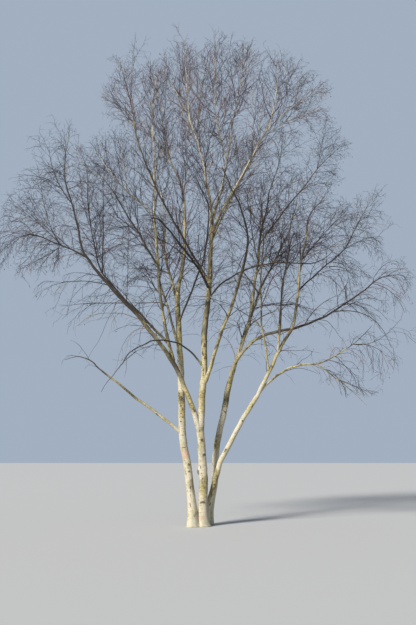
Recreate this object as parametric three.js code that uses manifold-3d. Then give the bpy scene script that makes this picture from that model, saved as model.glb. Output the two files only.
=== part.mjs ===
// A silver birch in winter: four stems from one root, bare boughs, and the masses of fine twigs.
// Millimetres, +Z up. The origin is the middle of the main stem's flat cut at ground level.
// The tree is seen from the front along +Y, with +X to the right.
// A bearing is in degrees from +X, turning towards +Y: 180 is left, 90 away, 270 to the viewer.

import Module from 'manifold-3d';
import * as THREE from 'three';
import { mergeVertices } from 'three/addons/utils/BufferGeometryUtils.js';

// Driving dimensions
const TOUCH_GAP = 0.3; // left between two solids that meet
const MASS_GAP = 2; // left between two masses of twigs that meet
const ROOT_FLARE = 34; // how far a stem spreads at the ground, on its radius
const ROOT_TOE = 30; // how far further it spreads towards the stem beside it
const ROOT_TOE_NARROW = 4; // a greater power makes a narrower toe
const ROOT_FLARE_HEIGHT = 130; // the height over which the flare dies away
const STEM_RING_SPACING = 1.6; // over 1 puts a stem's rings closer together near the ground
const CROOK_SHARE = 0.007; // how far a limb wanders from its bow, as a share of its length
const FOLLOW_TIP = 0.4; // how far a foot turns along the limb whose tip it grows on from
const FOLLOW_SIDE = 0.15; // how far a side limb's foot turns along the limb that carries it
const CROWN_HEART_HEIGHT = 2500; // the masses of twigs fan out from this height over the origin
const MASS_SPREAD = 0.2; // how much wider a mass is at its outer end
const MASS_LUMPS = 0.19; // how uneven a mass is, as a share of its radius
const ICOSAHEDRON_DETAIL = 2;

// Sides and rings of a limb, by the diameter of its foot
const STEM_MESH = { sides: 12, rings: 8 };
const THICK_MESH = { over: 75, sides: 7, rings: 7 };
const THIN_MESH = { sides: 6, rings: 5 };

const BARK_WHITE = { color: '#cbc3b2', roughness: 0.7 };
const BARK_CREAM = { color: '#b9a983', roughness: 0.75 };
const BARK_DARK = { color: '#6f6249', roughness: 0.8 };
const TWIG_BROWN = { color: '#5d4845', roughness: 0.9 };

// The stems. x and y are the middle of the foot, reach is how far the tip lies from it on the
// level, rise is how far above it, arch and sway are the bow upwards and to the right of the
// way it grows, and foot and tip are diameters. toes names the stems that its roots run into.
const STEMS = [
  { name: 'stem_middle', x: 0, y: 0, reach: 65, bearing: 180, rise: 2170, arch: 30, sway: 0,
    foot: 196, tip: 166, toes: ['stem_left', 'stem_outer'] },
  { name: 'stem_left', x: -258, y: -90, reach: 630, bearing: 134, rise: 5705, arch: -20, sway: -15,
    foot: 190, tip: 104, toes: ['stem_middle'] },
  { name: 'stem_outer', x: 60, y: 230, reach: 1260, bearing: 353, rise: 3030, arch: 240, sway: 80,
    foot: 124, tip: 98, toes: ['stem_middle', 'stem_right'] },
  { name: 'stem_right', x: 125, y: 385, reach: 630, bearing: 31, rise: 3415, arch: 45, sway: -25,
    foot: 158, tip: 128, toes: ['stem_outer'] },
];

// The boughs and leaders, with the same sizes. leaves is the height above the ground at which a
// limb leaves the one that carries it, and a limb with none grows on from that one's tip.
const LIMBS = [
  // Middle stem: the leader and the long left bough
  { name: 'leader', from: 'stem_middle', reach: 310, bearing: 25, rise: 5390, arch: -80, sway: -70,
    foot: 166, tip: 84, bark: BARK_CREAM },
  { name: 'left_bough', from: 'stem_middle', leaves: 2090, reach: 2000, bearing: 196, rise: 3240,
    arch: 300, sway: 20, foot: 142, tip: 82, bark: BARK_CREAM },
  { name: 'left_bough_outer', from: 'left_bough', reach: 990, bearing: 195, rise: 1105,
    arch: -10, sway: 0, foot: 82, tip: 58, bark: BARK_DARK },
  { name: 'left_bough_up', from: 'left_bough_outer', reach: 440, bearing: 193, rise: 1540,
    arch: 70, sway: -15, foot: 54, tip: 32, bark: BARK_DARK },
  { name: 'left_bough_far', from: 'left_bough_outer', leaves: 6360, reach: 950, bearing: 185,
    rise: 410, arch: 20, sway: 0, foot: 44, tip: 28, bark: BARK_DARK },
  { name: 'left_upright', from: 'left_bough', leaves: 3820, reach: 990, bearing: 133, rise: 6120,
    arch: -115, sway: -105, foot: 78, tip: 32, bark: BARK_CREAM },
  { name: 'left_second', from: 'left_upright', leaves: 4320, reach: 2190, bearing: 153, rise: 2180,
    arch: 0, sway: -240, foot: 56, tip: 36, bark: BARK_DARK },
  { name: 'left_upright_side', from: 'left_upright', leaves: 6380, reach: 1620, bearing: 151,
    rise: 2540, arch: 20, sway: -80, foot: 44, tip: 26, bark: BARK_DARK },

  // Left stem
  { name: 'left_stem_leader', from: 'stem_left', reach: 720, bearing: 113, rise: 4210, arch: 110,
    sway: 420, foot: 94, tip: 36, bark: BARK_CREAM },
  { name: 'left_stem_back', from: 'stem_left', leaves: 5560, reach: 2020, bearing: 106, rise: 3190,
    arch: -250, sway: -60, foot: 74, tip: 32, bark: BARK_CREAM },
  { name: 'left_stem_front', from: 'stem_left', leaves: 4950, reach: 2280, bearing: 290, rise: 1960,
    arch: 130, sway: -220, foot: 46, tip: 28, bark: BARK_DARK },
  { name: 'back_left_bough', from: 'stem_left', leaves: 4200, reach: 2700, bearing: 109, rise: 3690,
    arch: 30, sway: -140, foot: 62, tip: 34, bark: BARK_CREAM },
  { name: 'low_left', from: 'stem_left', leaves: 2090, reach: 2030, bearing: 194, rise: 1510,
    arch: -30, sway: 30, foot: 54, tip: 28, bark: BARK_CREAM },

  // Limbs off the leader
  { name: 'front_bough', from: 'leader', leaves: 3260, reach: 1620, bearing: 310, rise: 3030,
    arch: 0, sway: -60, foot: 84, tip: 54, bark: BARK_CREAM },
  { name: 'front_bough_up', from: 'front_bough', reach: 795, bearing: 242, rise: 1370, arch: 75,
    sway: -110, foot: 54, tip: 30, bark: BARK_DARK },
  { name: 'arc_left', from: 'leader', leaves: 3750, reach: 1880, bearing: 215, rise: 330,
    arch: 440, sway: 180, foot: 42, tip: 24, bark: BARK_DARK },
  { name: 'back_middle_bough', from: 'leader', leaves: 3910, reach: 2790, bearing: 87, rise: 3930,
    arch: 10, sway: 30, foot: 64, tip: 32, bark: BARK_CREAM },
  { name: 'front_left_bough', from: 'leader', leaves: 5830, reach: 2750, bearing: 247, rise: 850,
    arch: 140, sway: 60, foot: 56, tip: 32, bark: BARK_DARK },
  { name: 'arc_right', from: 'leader', leaves: 5550, reach: 3200, bearing: 310, rise: 170,
    arch: 300, sway: 130, foot: 44, tip: 26, bark: BARK_DARK },
  { name: 'leader_dark', from: 'leader', leaves: 5980, reach: 2200, bearing: 211, rise: 3590,
    arch: -290, sway: -80, foot: 66, tip: 32, bark: BARK_DARK },
  { name: 'leader_right_back', from: 'leader', leaves: 7100, reach: 2190, bearing: 56, rise: 3310,
    arch: -100, sway: -70, foot: 50, tip: 28, bark: BARK_CREAM },
  { name: 'leader_middle', from: 'leader', reach: 800, bearing: 44, rise: 3150, arch: -80,
    sway: 80, foot: 64, tip: 32, bark: BARK_WHITE },
  { name: 'leader_right', from: 'leader', leaves: 7300, reach: 1680, bearing: 332, rise: 2660,
    arch: 80, sway: -110, foot: 64, tip: 34, bark: BARK_CREAM },
  { name: 'leader_left', from: 'leader', leaves: 7570, reach: 720, bearing: 217, rise: 2780,
    arch: 120, sway: -50, foot: 56, tip: 30, bark: BARK_CREAM },

  // Right stem: the bough that arches out, and the upright one behind it
  { name: 'right_upright', from: 'stem_right', reach: 1010, bearing: 28, rise: 3980, arch: -300,
    sway: -160, foot: 104, tip: 50, bark: BARK_CREAM },
  { name: 'right_arch', from: 'stem_right', leaves: 3390, reach: 1770, bearing: 338, rise: 1350,
    arch: 330, sway: 400, foot: 94, tip: 64, bark: BARK_CREAM },
  { name: 'right_arch_outer', from: 'right_arch', reach: 1900, bearing: 358, rise: 1050,
    arch: -70, sway: 0, foot: 64, tip: 34, bark: BARK_DARK },
  { name: 'right_upright_top', from: 'right_upright', reach: 900, bearing: 63, rise: 1990,
    arch: -30, sway: 35, foot: 46, tip: 28, bark: BARK_DARK },
  { name: 'right_upright_outer', from: 'right_upright', leaves: 7380, reach: 1490, bearing: 353,
    rise: 1940, arch: 10, sway: -30, foot: 42, tip: 26, bark: BARK_DARK },
  { name: 'back_right_bough', from: 'stem_right', leaves: 3060, reach: 3230, bearing: 49, rise: 5530,
    arch: 180, sway: -30, foot: 76, tip: 34, bark: BARK_CREAM },

  // Outer right stem
  { name: 'outer_upright', from: 'stem_outer', reach: 960, bearing: 346, rise: 1700, arch: 50,
    sway: 40, foot: 88, tip: 64, bark: BARK_WHITE },
  { name: 'outer_low', from: 'stem_outer', leaves: 2970, reach: 1670, bearing: 331, rise: 760,
    arch: 320, sway: -200, foot: 70, tip: 42, bark: BARK_CREAM },
  { name: 'outer_upright_top', from: 'outer_upright', reach: 490, bearing: 323, rise: 2330,
    arch: 100, sway: 20, foot: 62, tip: 38, bark: BARK_CREAM },
  { name: 'outer_upright_side', from: 'outer_upright_top', leaves: 5650, reach: 1450, bearing: 20,
    rise: 1310, arch: -50, sway: -250, foot: 36, tip: 24, bark: BARK_DARK },
  { name: 'outer_thin', from: 'outer_upright', leaves: 3620, reach: 1900, bearing: 262, rise: 2500,
    arch: 200, sway: 160, foot: 44, tip: 26, bark: BARK_WHITE },
  { name: 'front_right_bough', from: 'outer_upright', leaves: 4110, reach: 2570, bearing: 271,
    rise: 1950, arch: 430, sway: 10, foot: 52, tip: 30, bark: BARK_DARK },
];

// The masses of twigs. x, y and z are the middle. along is half the length on the line from the
// crown's heart, wide is half the breadth on the level, and thick is half the third way.
const MASSES = [
  { name: 'twigs_left_far', x: -3900, y: -500, z: 8250, along: 1350, wide: 1200, thick: 950 },
  { name: 'twigs_left_low', x: -4250, y: -800, z: 6450, along: 950, wide: 1100, thick: 750 },
  { name: 'twigs_left_inner', x: -3000, y: 900, z: 7800, along: 1500, wide: 1000, thick: 750 },
  { name: 'twigs_top_left_front', x: -1600, y: -900, z: 10150, along: 1400, wide: 1050, thick: 780 },
  { name: 'twigs_top_left_back', x: -2400, y: 1350, z: 9900, along: 1550, wide: 1000, thick: 820 },
  { name: 'twigs_top_middle_left', x: -600, y: 200, z: 11150, along: 1700, wide: 1050, thick: 900 },
  { name: 'twigs_top_middle', x: 950, y: 100, z: 11800, along: 1550, wide: 1000, thick: 880 },
  { name: 'twigs_top_right', x: 2300, y: -600, z: 10300, along: 1400, wide: 1050, thick: 900 },
  { name: 'twigs_top_right_back', x: 1750, y: 2300, z: 10200, along: 1400, wide: 1000, thick: 850 },
  { name: 'twigs_right_upper', x: 3150, y: 950, z: 9850, along: 1400, wide: 1000, thick: 850 },
  { name: 'twigs_right_high', x: 3700, y: 150, z: 7550, along: 1200, wide: 1100, thick: 800 },
  { name: 'twigs_right_arch', x: 4500, y: 200, z: 6000, along: 1000, wide: 1000, thick: 750 },
  { name: 'twigs_right_low', x: 3600, y: -800, z: 3750, along: 1150, wide: 850, thick: 600 },
  { name: 'twigs_inner_right', x: 2650, y: -600, z: 7850, along: 1300, wide: 800, thick: 700 },
  { name: 'twigs_front_left', x: -1350, y: -2750, z: 7500, along: 1450, wide: 1200, thick: 900 },
  { name: 'twigs_front_right', x: 2200, y: -2650, z: 7000, along: 1450, wide: 1150, thick: 850 },
  { name: 'twigs_front_middle', x: 500, y: -2250, z: 8500, along: 1550, wide: 1050, thick: 850 },
  { name: 'twigs_back_left', x: -1900, y: 2900, z: 8600, along: 1700, wide: 1300, thick: 1050 },
  { name: 'twigs_back_right', x: 2600, y: 2950, z: 8100, along: 1700, wide: 1200, thick: 1000 },
  { name: 'twigs_back_middle', x: 300, y: 3300, z: 9100, along: 1550, wide: 1100, thick: 900 },
];

const UP = new THREE.Vector3(0, 0, 1);

// A repeatable run of numbers from 0 to 1.
function seededNumbers(seed) {
  let state = seed * 2654435761 % 4294967296;
  return () => {
    state = (state * 1664525 + 1013904223) % 4294967296;
    return state / 4294967296;
  };
}

// The line of a limb: from its foot to its tip, bowed by arch and sway, with a slight wander.
class LimbLine extends THREE.Curve {
  constructor(foot, size, random) {
    super();
    const bearing = THREE.MathUtils.degToRad(size.bearing);
    this.foot = foot;
    this.chord = new THREE.Vector3(
      size.reach * Math.cos(bearing),
      size.reach * Math.sin(bearing),
      size.rise,
    );
    this.side = new THREE.Vector3(Math.sin(bearing), -Math.cos(bearing), 0);
    this.over = new THREE.Vector3().crossVectors(this.side, this.chord).normalize();
    this.arch = size.arch;
    this.sway = size.sway;
    this.crook = this.chord.length() * CROOK_SHARE;
    this.phases = [random() * 2 * Math.PI, random() * 2 * Math.PI];
    this.lead = new THREE.Vector3();
  }

  // Turns the foot towards a direction, wholly at share 1, and leaves both ends in place.
  follow(direction, share) {
    const start = this.getTangentAtFoot();
    this.lead.copy(direction).multiplyScalar(start.length()).sub(start).multiplyScalar(share);
  }

  getTangentAtFoot() {
    const step = 1e-4;
    return this.getPoint(step).sub(this.getPoint(0)).divideScalar(step);
  }

  getPoint(t, target = new THREE.Vector3()) {
    const bow = 4 * t * (1 - t);
    const up = bow * (this.arch + this.crook * Math.sin(4 * Math.PI * t + this.phases[0]));
    const out = bow * (this.sway + this.crook * Math.sin(3 * Math.PI * t + this.phases[1]));
    return target.copy(this.foot)
      .addScaledVector(this.chord, t)
      .addScaledVector(this.over, up)
      .addScaledVector(this.side, out)
      .addScaledVector(this.lead, t * (1 - t) ** 2);
  }

  // The share of the line at which it has risen to a height.
  shareAtHeight(height) {
    let low = 0;
    let high = 1;
    for (let i = 0; i < 40; i += 1) {
      const middle = (low + high) / 2;
      if (this.getPoint(middle).z < height) low = middle;
      else high = middle;
    }
    return (low + high) / 2;
  }
}

// How much further a stem's radius spreads at a height and angle, for its root flare and toes.
function flareAt(stem, height, angle) {
  const toes = stem.toes.map((name) => {
    const other = STEMS.find((row) => row.name === name);
    const facing = Math.cos(angle - Math.atan2(other.y - stem.y, other.x - stem.x));
    return Math.max(0, facing) ** ROOT_TOE_NARROW;
  });
  const spread = ROOT_FLARE * stem.foot / STEMS[0].foot + ROOT_TOE * Math.max(...toes);
  return spread * Math.exp(-height / ROOT_FLARE_HEIGHT);
}

// The closed tube of a limb: a cylinder whose rings are laid along its line.
function limbGeometry(limb, grow) {
  const { line, size, mesh, isStem, along } = limb;
  const geometry = new THREE.CylinderGeometry(1, 1, 1, mesh.sides, mesh.rings);
  const position = geometry.attributes.position;
  const point = new THREE.Vector3();
  for (let i = 0; i < position.count; i += 1) {
    point.fromBufferAttribute(position, i);
    const ring = Math.round((point.y + 0.5) * mesh.rings) / mesh.rings;
    const t = isStem ? ring ** STEM_RING_SPACING : ring;
    const middle = line.getPoint(t);
    const slope = line.getTangent(t);
    if (isStem) slope.lerp(UP, 1 - ring).normalize();
    const axis = ring === 0 && size.leaves === undefined ? along : slope;
    const right = line.side.clone().addScaledVector(axis, -line.side.dot(axis)).normalize();
    const ahead = new THREE.Vector3().crossVectors(axis, right);
    const across = Math.hypot(point.x, point.z);
    const spoke = right.multiplyScalar(point.x).addScaledVector(ahead, -point.z);
    let radius = THREE.MathUtils.lerp(size.foot, size.tip, t) / 2 + grow;
    if (isStem) radius += flareAt(size, middle.z, Math.atan2(spoke.y, spoke.x));
    if (across > 0.5) middle.addScaledVector(spoke, radius);
    if (ring === 1) middle.addScaledVector(axis, grow);
    if (ring === 0 && isStem) middle.z = 0;
    if (ring === 0 && !isStem) middle.addScaledVector(axis, -grow);
    position.setXYZ(i, middle.x, middle.y, middle.z);
  }
  return geometry;
}

// The closed, uneven body of a mass of twigs: a ball drawn out away from the crown's heart.
function massGeometry(size, grow, random) {
  const geometry = new THREE.IcosahedronGeometry(1, ICOSAHEDRON_DETAIL);
  const middle = new THREE.Vector3(size.x, size.y, size.z);
  const axis = middle.clone().sub(new THREE.Vector3(0, 0, CROWN_HEART_HEIGHT)).normalize();
  const level = new THREE.Vector3().crossVectors(axis, UP).normalize();
  const third = new THREE.Vector3().crossVectors(axis, level);
  const waves = [2, 3, 4, 5].map((count) => ({
    count,
    way: new THREE.Vector3(random() - 0.5, random() - 0.5, random() - 0.5).normalize(),
    phase: random() * 2 * Math.PI,
  }));
  const position = geometry.attributes.position;
  const ray = new THREE.Vector3();
  for (let i = 0; i < position.count; i += 1) {
    ray.fromBufferAttribute(position, i).normalize();
    const lumps = waves.map((wave) => Math.sin(wave.count * ray.dot(wave.way) * 2 + wave.phase));
    const lump = 1 + MASS_LUMPS * lumps.reduce((sum, value) => sum + value, 0) / 2;
    const spread = 1 + MASS_SPREAD * ray.z;
    const point = middle.clone()
      .addScaledVector(axis, ray.z * (size.along * lump + grow))
      .addScaledVector(level, ray.x * (size.wide * lump * spread + grow))
      .addScaledVector(third, ray.y * (size.thick * lump * spread + grow));
    position.setXYZ(i, point.x, point.y, point.z);
  }
  return geometry;
}

const solids = await Module();
solids.setup();

// A three.js geometry as a solid that can be joined and cut.
function toSolid(geometry) {
  geometry.deleteAttribute('normal');
  geometry.deleteAttribute('uv');
  const merged = mergeVertices(geometry);
  const mesh = new solids.Mesh({
    numProp: 3,
    vertProperties: new Float32Array(merged.attributes.position.array),
    triVerts: new Uint32Array(merged.index.array),
  });
  return new solids.Manifold(mesh);
}

// A solid as a three.js geometry.
function toGeometry(solid) {
  const mesh = solid.getMesh();
  const geometry = new THREE.BufferGeometry();
  geometry.setAttribute('position', new THREE.BufferAttribute(mesh.vertProperties, 3));
  geometry.setIndex(new THREE.BufferAttribute(mesh.triVerts, 1));
  geometry.computeVertexNormals();
  return geometry;
}

function boxesMeet(one, other) {
  const a = one.boundingBox();
  const b = other.boundingBox();
  return [0, 1, 2].every((k) => a.min[k] < b.max[k] && b.min[k] < a.max[k]);
}

// What is left of a solid outside the others, as one body: its largest piece.
function cutBy(solid, others) {
  let left = solid;
  for (const other of others) {
    if (boxesMeet(left, other)) left = left.subtract(other);
  }
  return left.decompose().reduce((best, piece) => (piece.volume() > best.volume() ? piece : best));
}

// Places every stem and limb, each on the one that carries it.
function growLimbs() {
  const grown = new Map();
  [...STEMS, ...LIMBS].forEach((size, index) => {
    const random = seededNumbers(index + 1);
    const carrier = grown.get(size.from);
    const isStem = carrier === undefined;
    let foot = isStem ? new THREE.Vector3(size.x, size.y, 0) : null;
    let along = UP;
    if (!isStem) {
      const share = size.leaves === undefined ? 1 : carrier.line.shareAtHeight(size.leaves);
      along = carrier.line.getTangent(share);
      foot = carrier.line.getPoint(share);
      if (share === 1) foot.addScaledVector(along, TOUCH_GAP);
    }
    const line = new LimbLine(foot, size, random);
    if (!isStem) line.follow(along, size.leaves === undefined ? FOLLOW_TIP : FOLLOW_SIDE);
    const boughMesh = size.foot > THICK_MESH.over ? THICK_MESH : THIN_MESH;
    grown.set(size.name, { line, size, isStem, along, mesh: isStem ? STEM_MESH : boughMesh });
  });
  return [...grown.values()];
}

function namedMesh(name, solid, look) {
  const material = new THREE.MeshStandardMaterial({ ...look, metalness: 0 });
  const mesh = new THREE.Mesh(toGeometry(solid), material);
  mesh.name = name;
  return mesh;
}

const group = new THREE.Group();

// Each limb is cut by those before it, which leaves its foot fitted round the limb that carries it.
// One that grows on from a tip already stands clear of it.
const limbCutters = new Map();
for (const limb of growLimbs()) {
  const { name, from, leaves, bark } = limb.size;
  const others = [...limbCutters].filter(([other]) => leaves !== undefined || other !== from);
  const solid = cutBy(toSolid(limbGeometry(limb, 0)), others.map(([, cutter]) => cutter));
  limbCutters.set(name, toSolid(limbGeometry(limb, TOUCH_GAP)));
  group.add(namedMesh(name, solid, bark ?? BARK_WHITE));
}

// Each mass is cut round the limbs that enter it and round the masses before it.
const massCutters = [];
MASSES.forEach((size, index) => {
  const seed = STEMS.length + LIMBS.length + index + 1;
  const whole = toSolid(massGeometry(size, 0, seededNumbers(seed)));
  const solid = cutBy(whole, [...limbCutters.values(), ...massCutters]);
  massCutters.push(toSolid(massGeometry(size, MASS_GAP, seededNumbers(seed))));
  group.add(namedMesh(size.name, solid, TWIG_BROWN));
});

export default group;
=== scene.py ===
"""A silver birch in winter: bark in relief on its stems and boughs, and a crown of fine bare twigs.

Metres, +Z up, seen from the front along +Y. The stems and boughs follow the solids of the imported
model. The crown's boughs, shoots, twigs and catkins grow on from them by a seeded rule.
"""

import logging
import math
from dataclasses import dataclass, field
from enum import Enum
from itertools import product, starmap
from typing import Self

import bpy
import numpy as np
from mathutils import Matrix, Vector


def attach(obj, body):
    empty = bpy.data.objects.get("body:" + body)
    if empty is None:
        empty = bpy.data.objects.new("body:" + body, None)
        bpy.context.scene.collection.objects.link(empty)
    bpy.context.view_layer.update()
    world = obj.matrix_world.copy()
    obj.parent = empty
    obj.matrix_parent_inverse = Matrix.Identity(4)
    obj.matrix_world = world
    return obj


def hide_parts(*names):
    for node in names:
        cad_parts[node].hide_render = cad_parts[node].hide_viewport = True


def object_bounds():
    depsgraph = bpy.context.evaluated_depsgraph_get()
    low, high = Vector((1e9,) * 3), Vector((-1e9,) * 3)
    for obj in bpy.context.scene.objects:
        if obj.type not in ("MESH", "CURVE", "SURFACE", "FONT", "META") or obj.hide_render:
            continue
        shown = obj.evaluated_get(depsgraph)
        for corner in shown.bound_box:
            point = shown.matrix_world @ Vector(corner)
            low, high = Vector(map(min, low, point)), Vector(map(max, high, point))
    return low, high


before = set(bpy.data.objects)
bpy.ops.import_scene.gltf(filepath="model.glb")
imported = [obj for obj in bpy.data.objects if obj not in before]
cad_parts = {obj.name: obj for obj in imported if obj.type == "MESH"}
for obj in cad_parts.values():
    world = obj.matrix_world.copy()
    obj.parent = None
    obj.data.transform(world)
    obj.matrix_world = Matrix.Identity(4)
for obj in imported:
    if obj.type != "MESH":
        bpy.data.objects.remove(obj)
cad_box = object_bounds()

log = logging.getLogger("birch")

Array = np.ndarray
Socket = bpy.types.NodeSocket
Source = Socket | float | tuple

UP = np.array([0.0, 0.0, 1.0])
GOLDEN_ANGLE = math.radians(137.5)


class Finish(Enum):
    """The bark of a limb, which sets its tone; its value is the bark's name."""

    WHITE = "bark_white"
    CREAM = "bark_cream"
    DARK = "bark_dark"


WHITE, CREAM, DARK = Finish


@dataclass(frozen=True)
class Limb:
    """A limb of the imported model, from the side or, with grows_on, the tip of another."""

    name: str
    on: str
    finish: Finish
    grows_on: bool = False
    fullness: float = 1.0


@dataclass(frozen=True)
class Bough:
    """A bough inside the crown, in metres.

    It leaves its carrier at a share of its length, 1 being the tip. reach and rise are how far its
    tip lies from its foot on the level and above it, bearing is in degrees from +X towards +Y, arch
    and sway are its bow upwards and to the right, and foot and tip are diameters in millimetres.
    """

    name: str
    on: str
    at: float
    reach: float
    bearing: float
    rise: float
    arch: float
    sway: float
    foot: float
    tip: float

    @property
    def grows_on(self) -> bool:
        """Whether it carries its carrier's tip onwards."""
        return self.at == 1


LIMBS = tuple(starmap(Limb, (
    ("stem_middle", "", WHITE),
    ("stem_left", "", WHITE),
    ("stem_outer", "", WHITE),
    ("stem_right", "", WHITE),
    ("leader", "stem_middle", CREAM, True),
    ("left_bough", "stem_middle", CREAM, False, 0.92),
    ("left_bough_outer", "left_bough", DARK, True, 0.86),
    ("left_bough_up", "left_bough_outer", DARK, True, 0.92),
    ("left_bough_far", "left_bough_outer", DARK, False, 0.88),
    ("left_upright", "left_bough", CREAM),
    ("left_second", "left_upright", DARK),
    ("left_upright_side", "left_upright", DARK),
    ("left_stem_leader", "stem_left", CREAM, True),
    ("left_stem_back", "stem_left", CREAM),
    ("left_stem_front", "stem_left", DARK),
    ("back_left_bough", "stem_left", CREAM),
    ("low_left", "stem_left", CREAM, False, 1.35),
    ("front_bough", "leader", CREAM),
    ("front_bough_up", "front_bough", DARK, True, 0.86),
    ("arc_left", "leader", DARK),
    ("back_middle_bough", "leader", CREAM),
    ("front_left_bough", "leader", DARK),
    ("arc_right", "leader", DARK, False, 0.92),
    ("leader_dark", "leader", DARK, False, 0.84),
    ("leader_right_back", "leader", CREAM),
    ("leader_middle", "leader", WHITE, True),
    ("leader_right", "leader", CREAM),
    ("leader_left", "leader", CREAM),
    ("right_upright", "stem_right", CREAM, True),
    ("right_arch", "stem_right", CREAM, False, 0.9),
    ("right_arch_outer", "right_arch", DARK, True, 0.84),
    ("right_upright_top", "right_upright", DARK, True),
    ("right_upright_outer", "right_upright", DARK),
    ("back_right_bough", "stem_right", CREAM),
    ("outer_upright", "stem_outer", WHITE, True),
    ("outer_low", "stem_outer", CREAM, False, 0.82),
    ("outer_upright_top", "outer_upright", CREAM, True),
    ("outer_upright_side", "outer_upright_top", DARK),
    ("outer_thin", "outer_upright", WHITE),
    ("front_right_bough", "outer_upright", CREAM, False, 0.82),
)))

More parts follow.
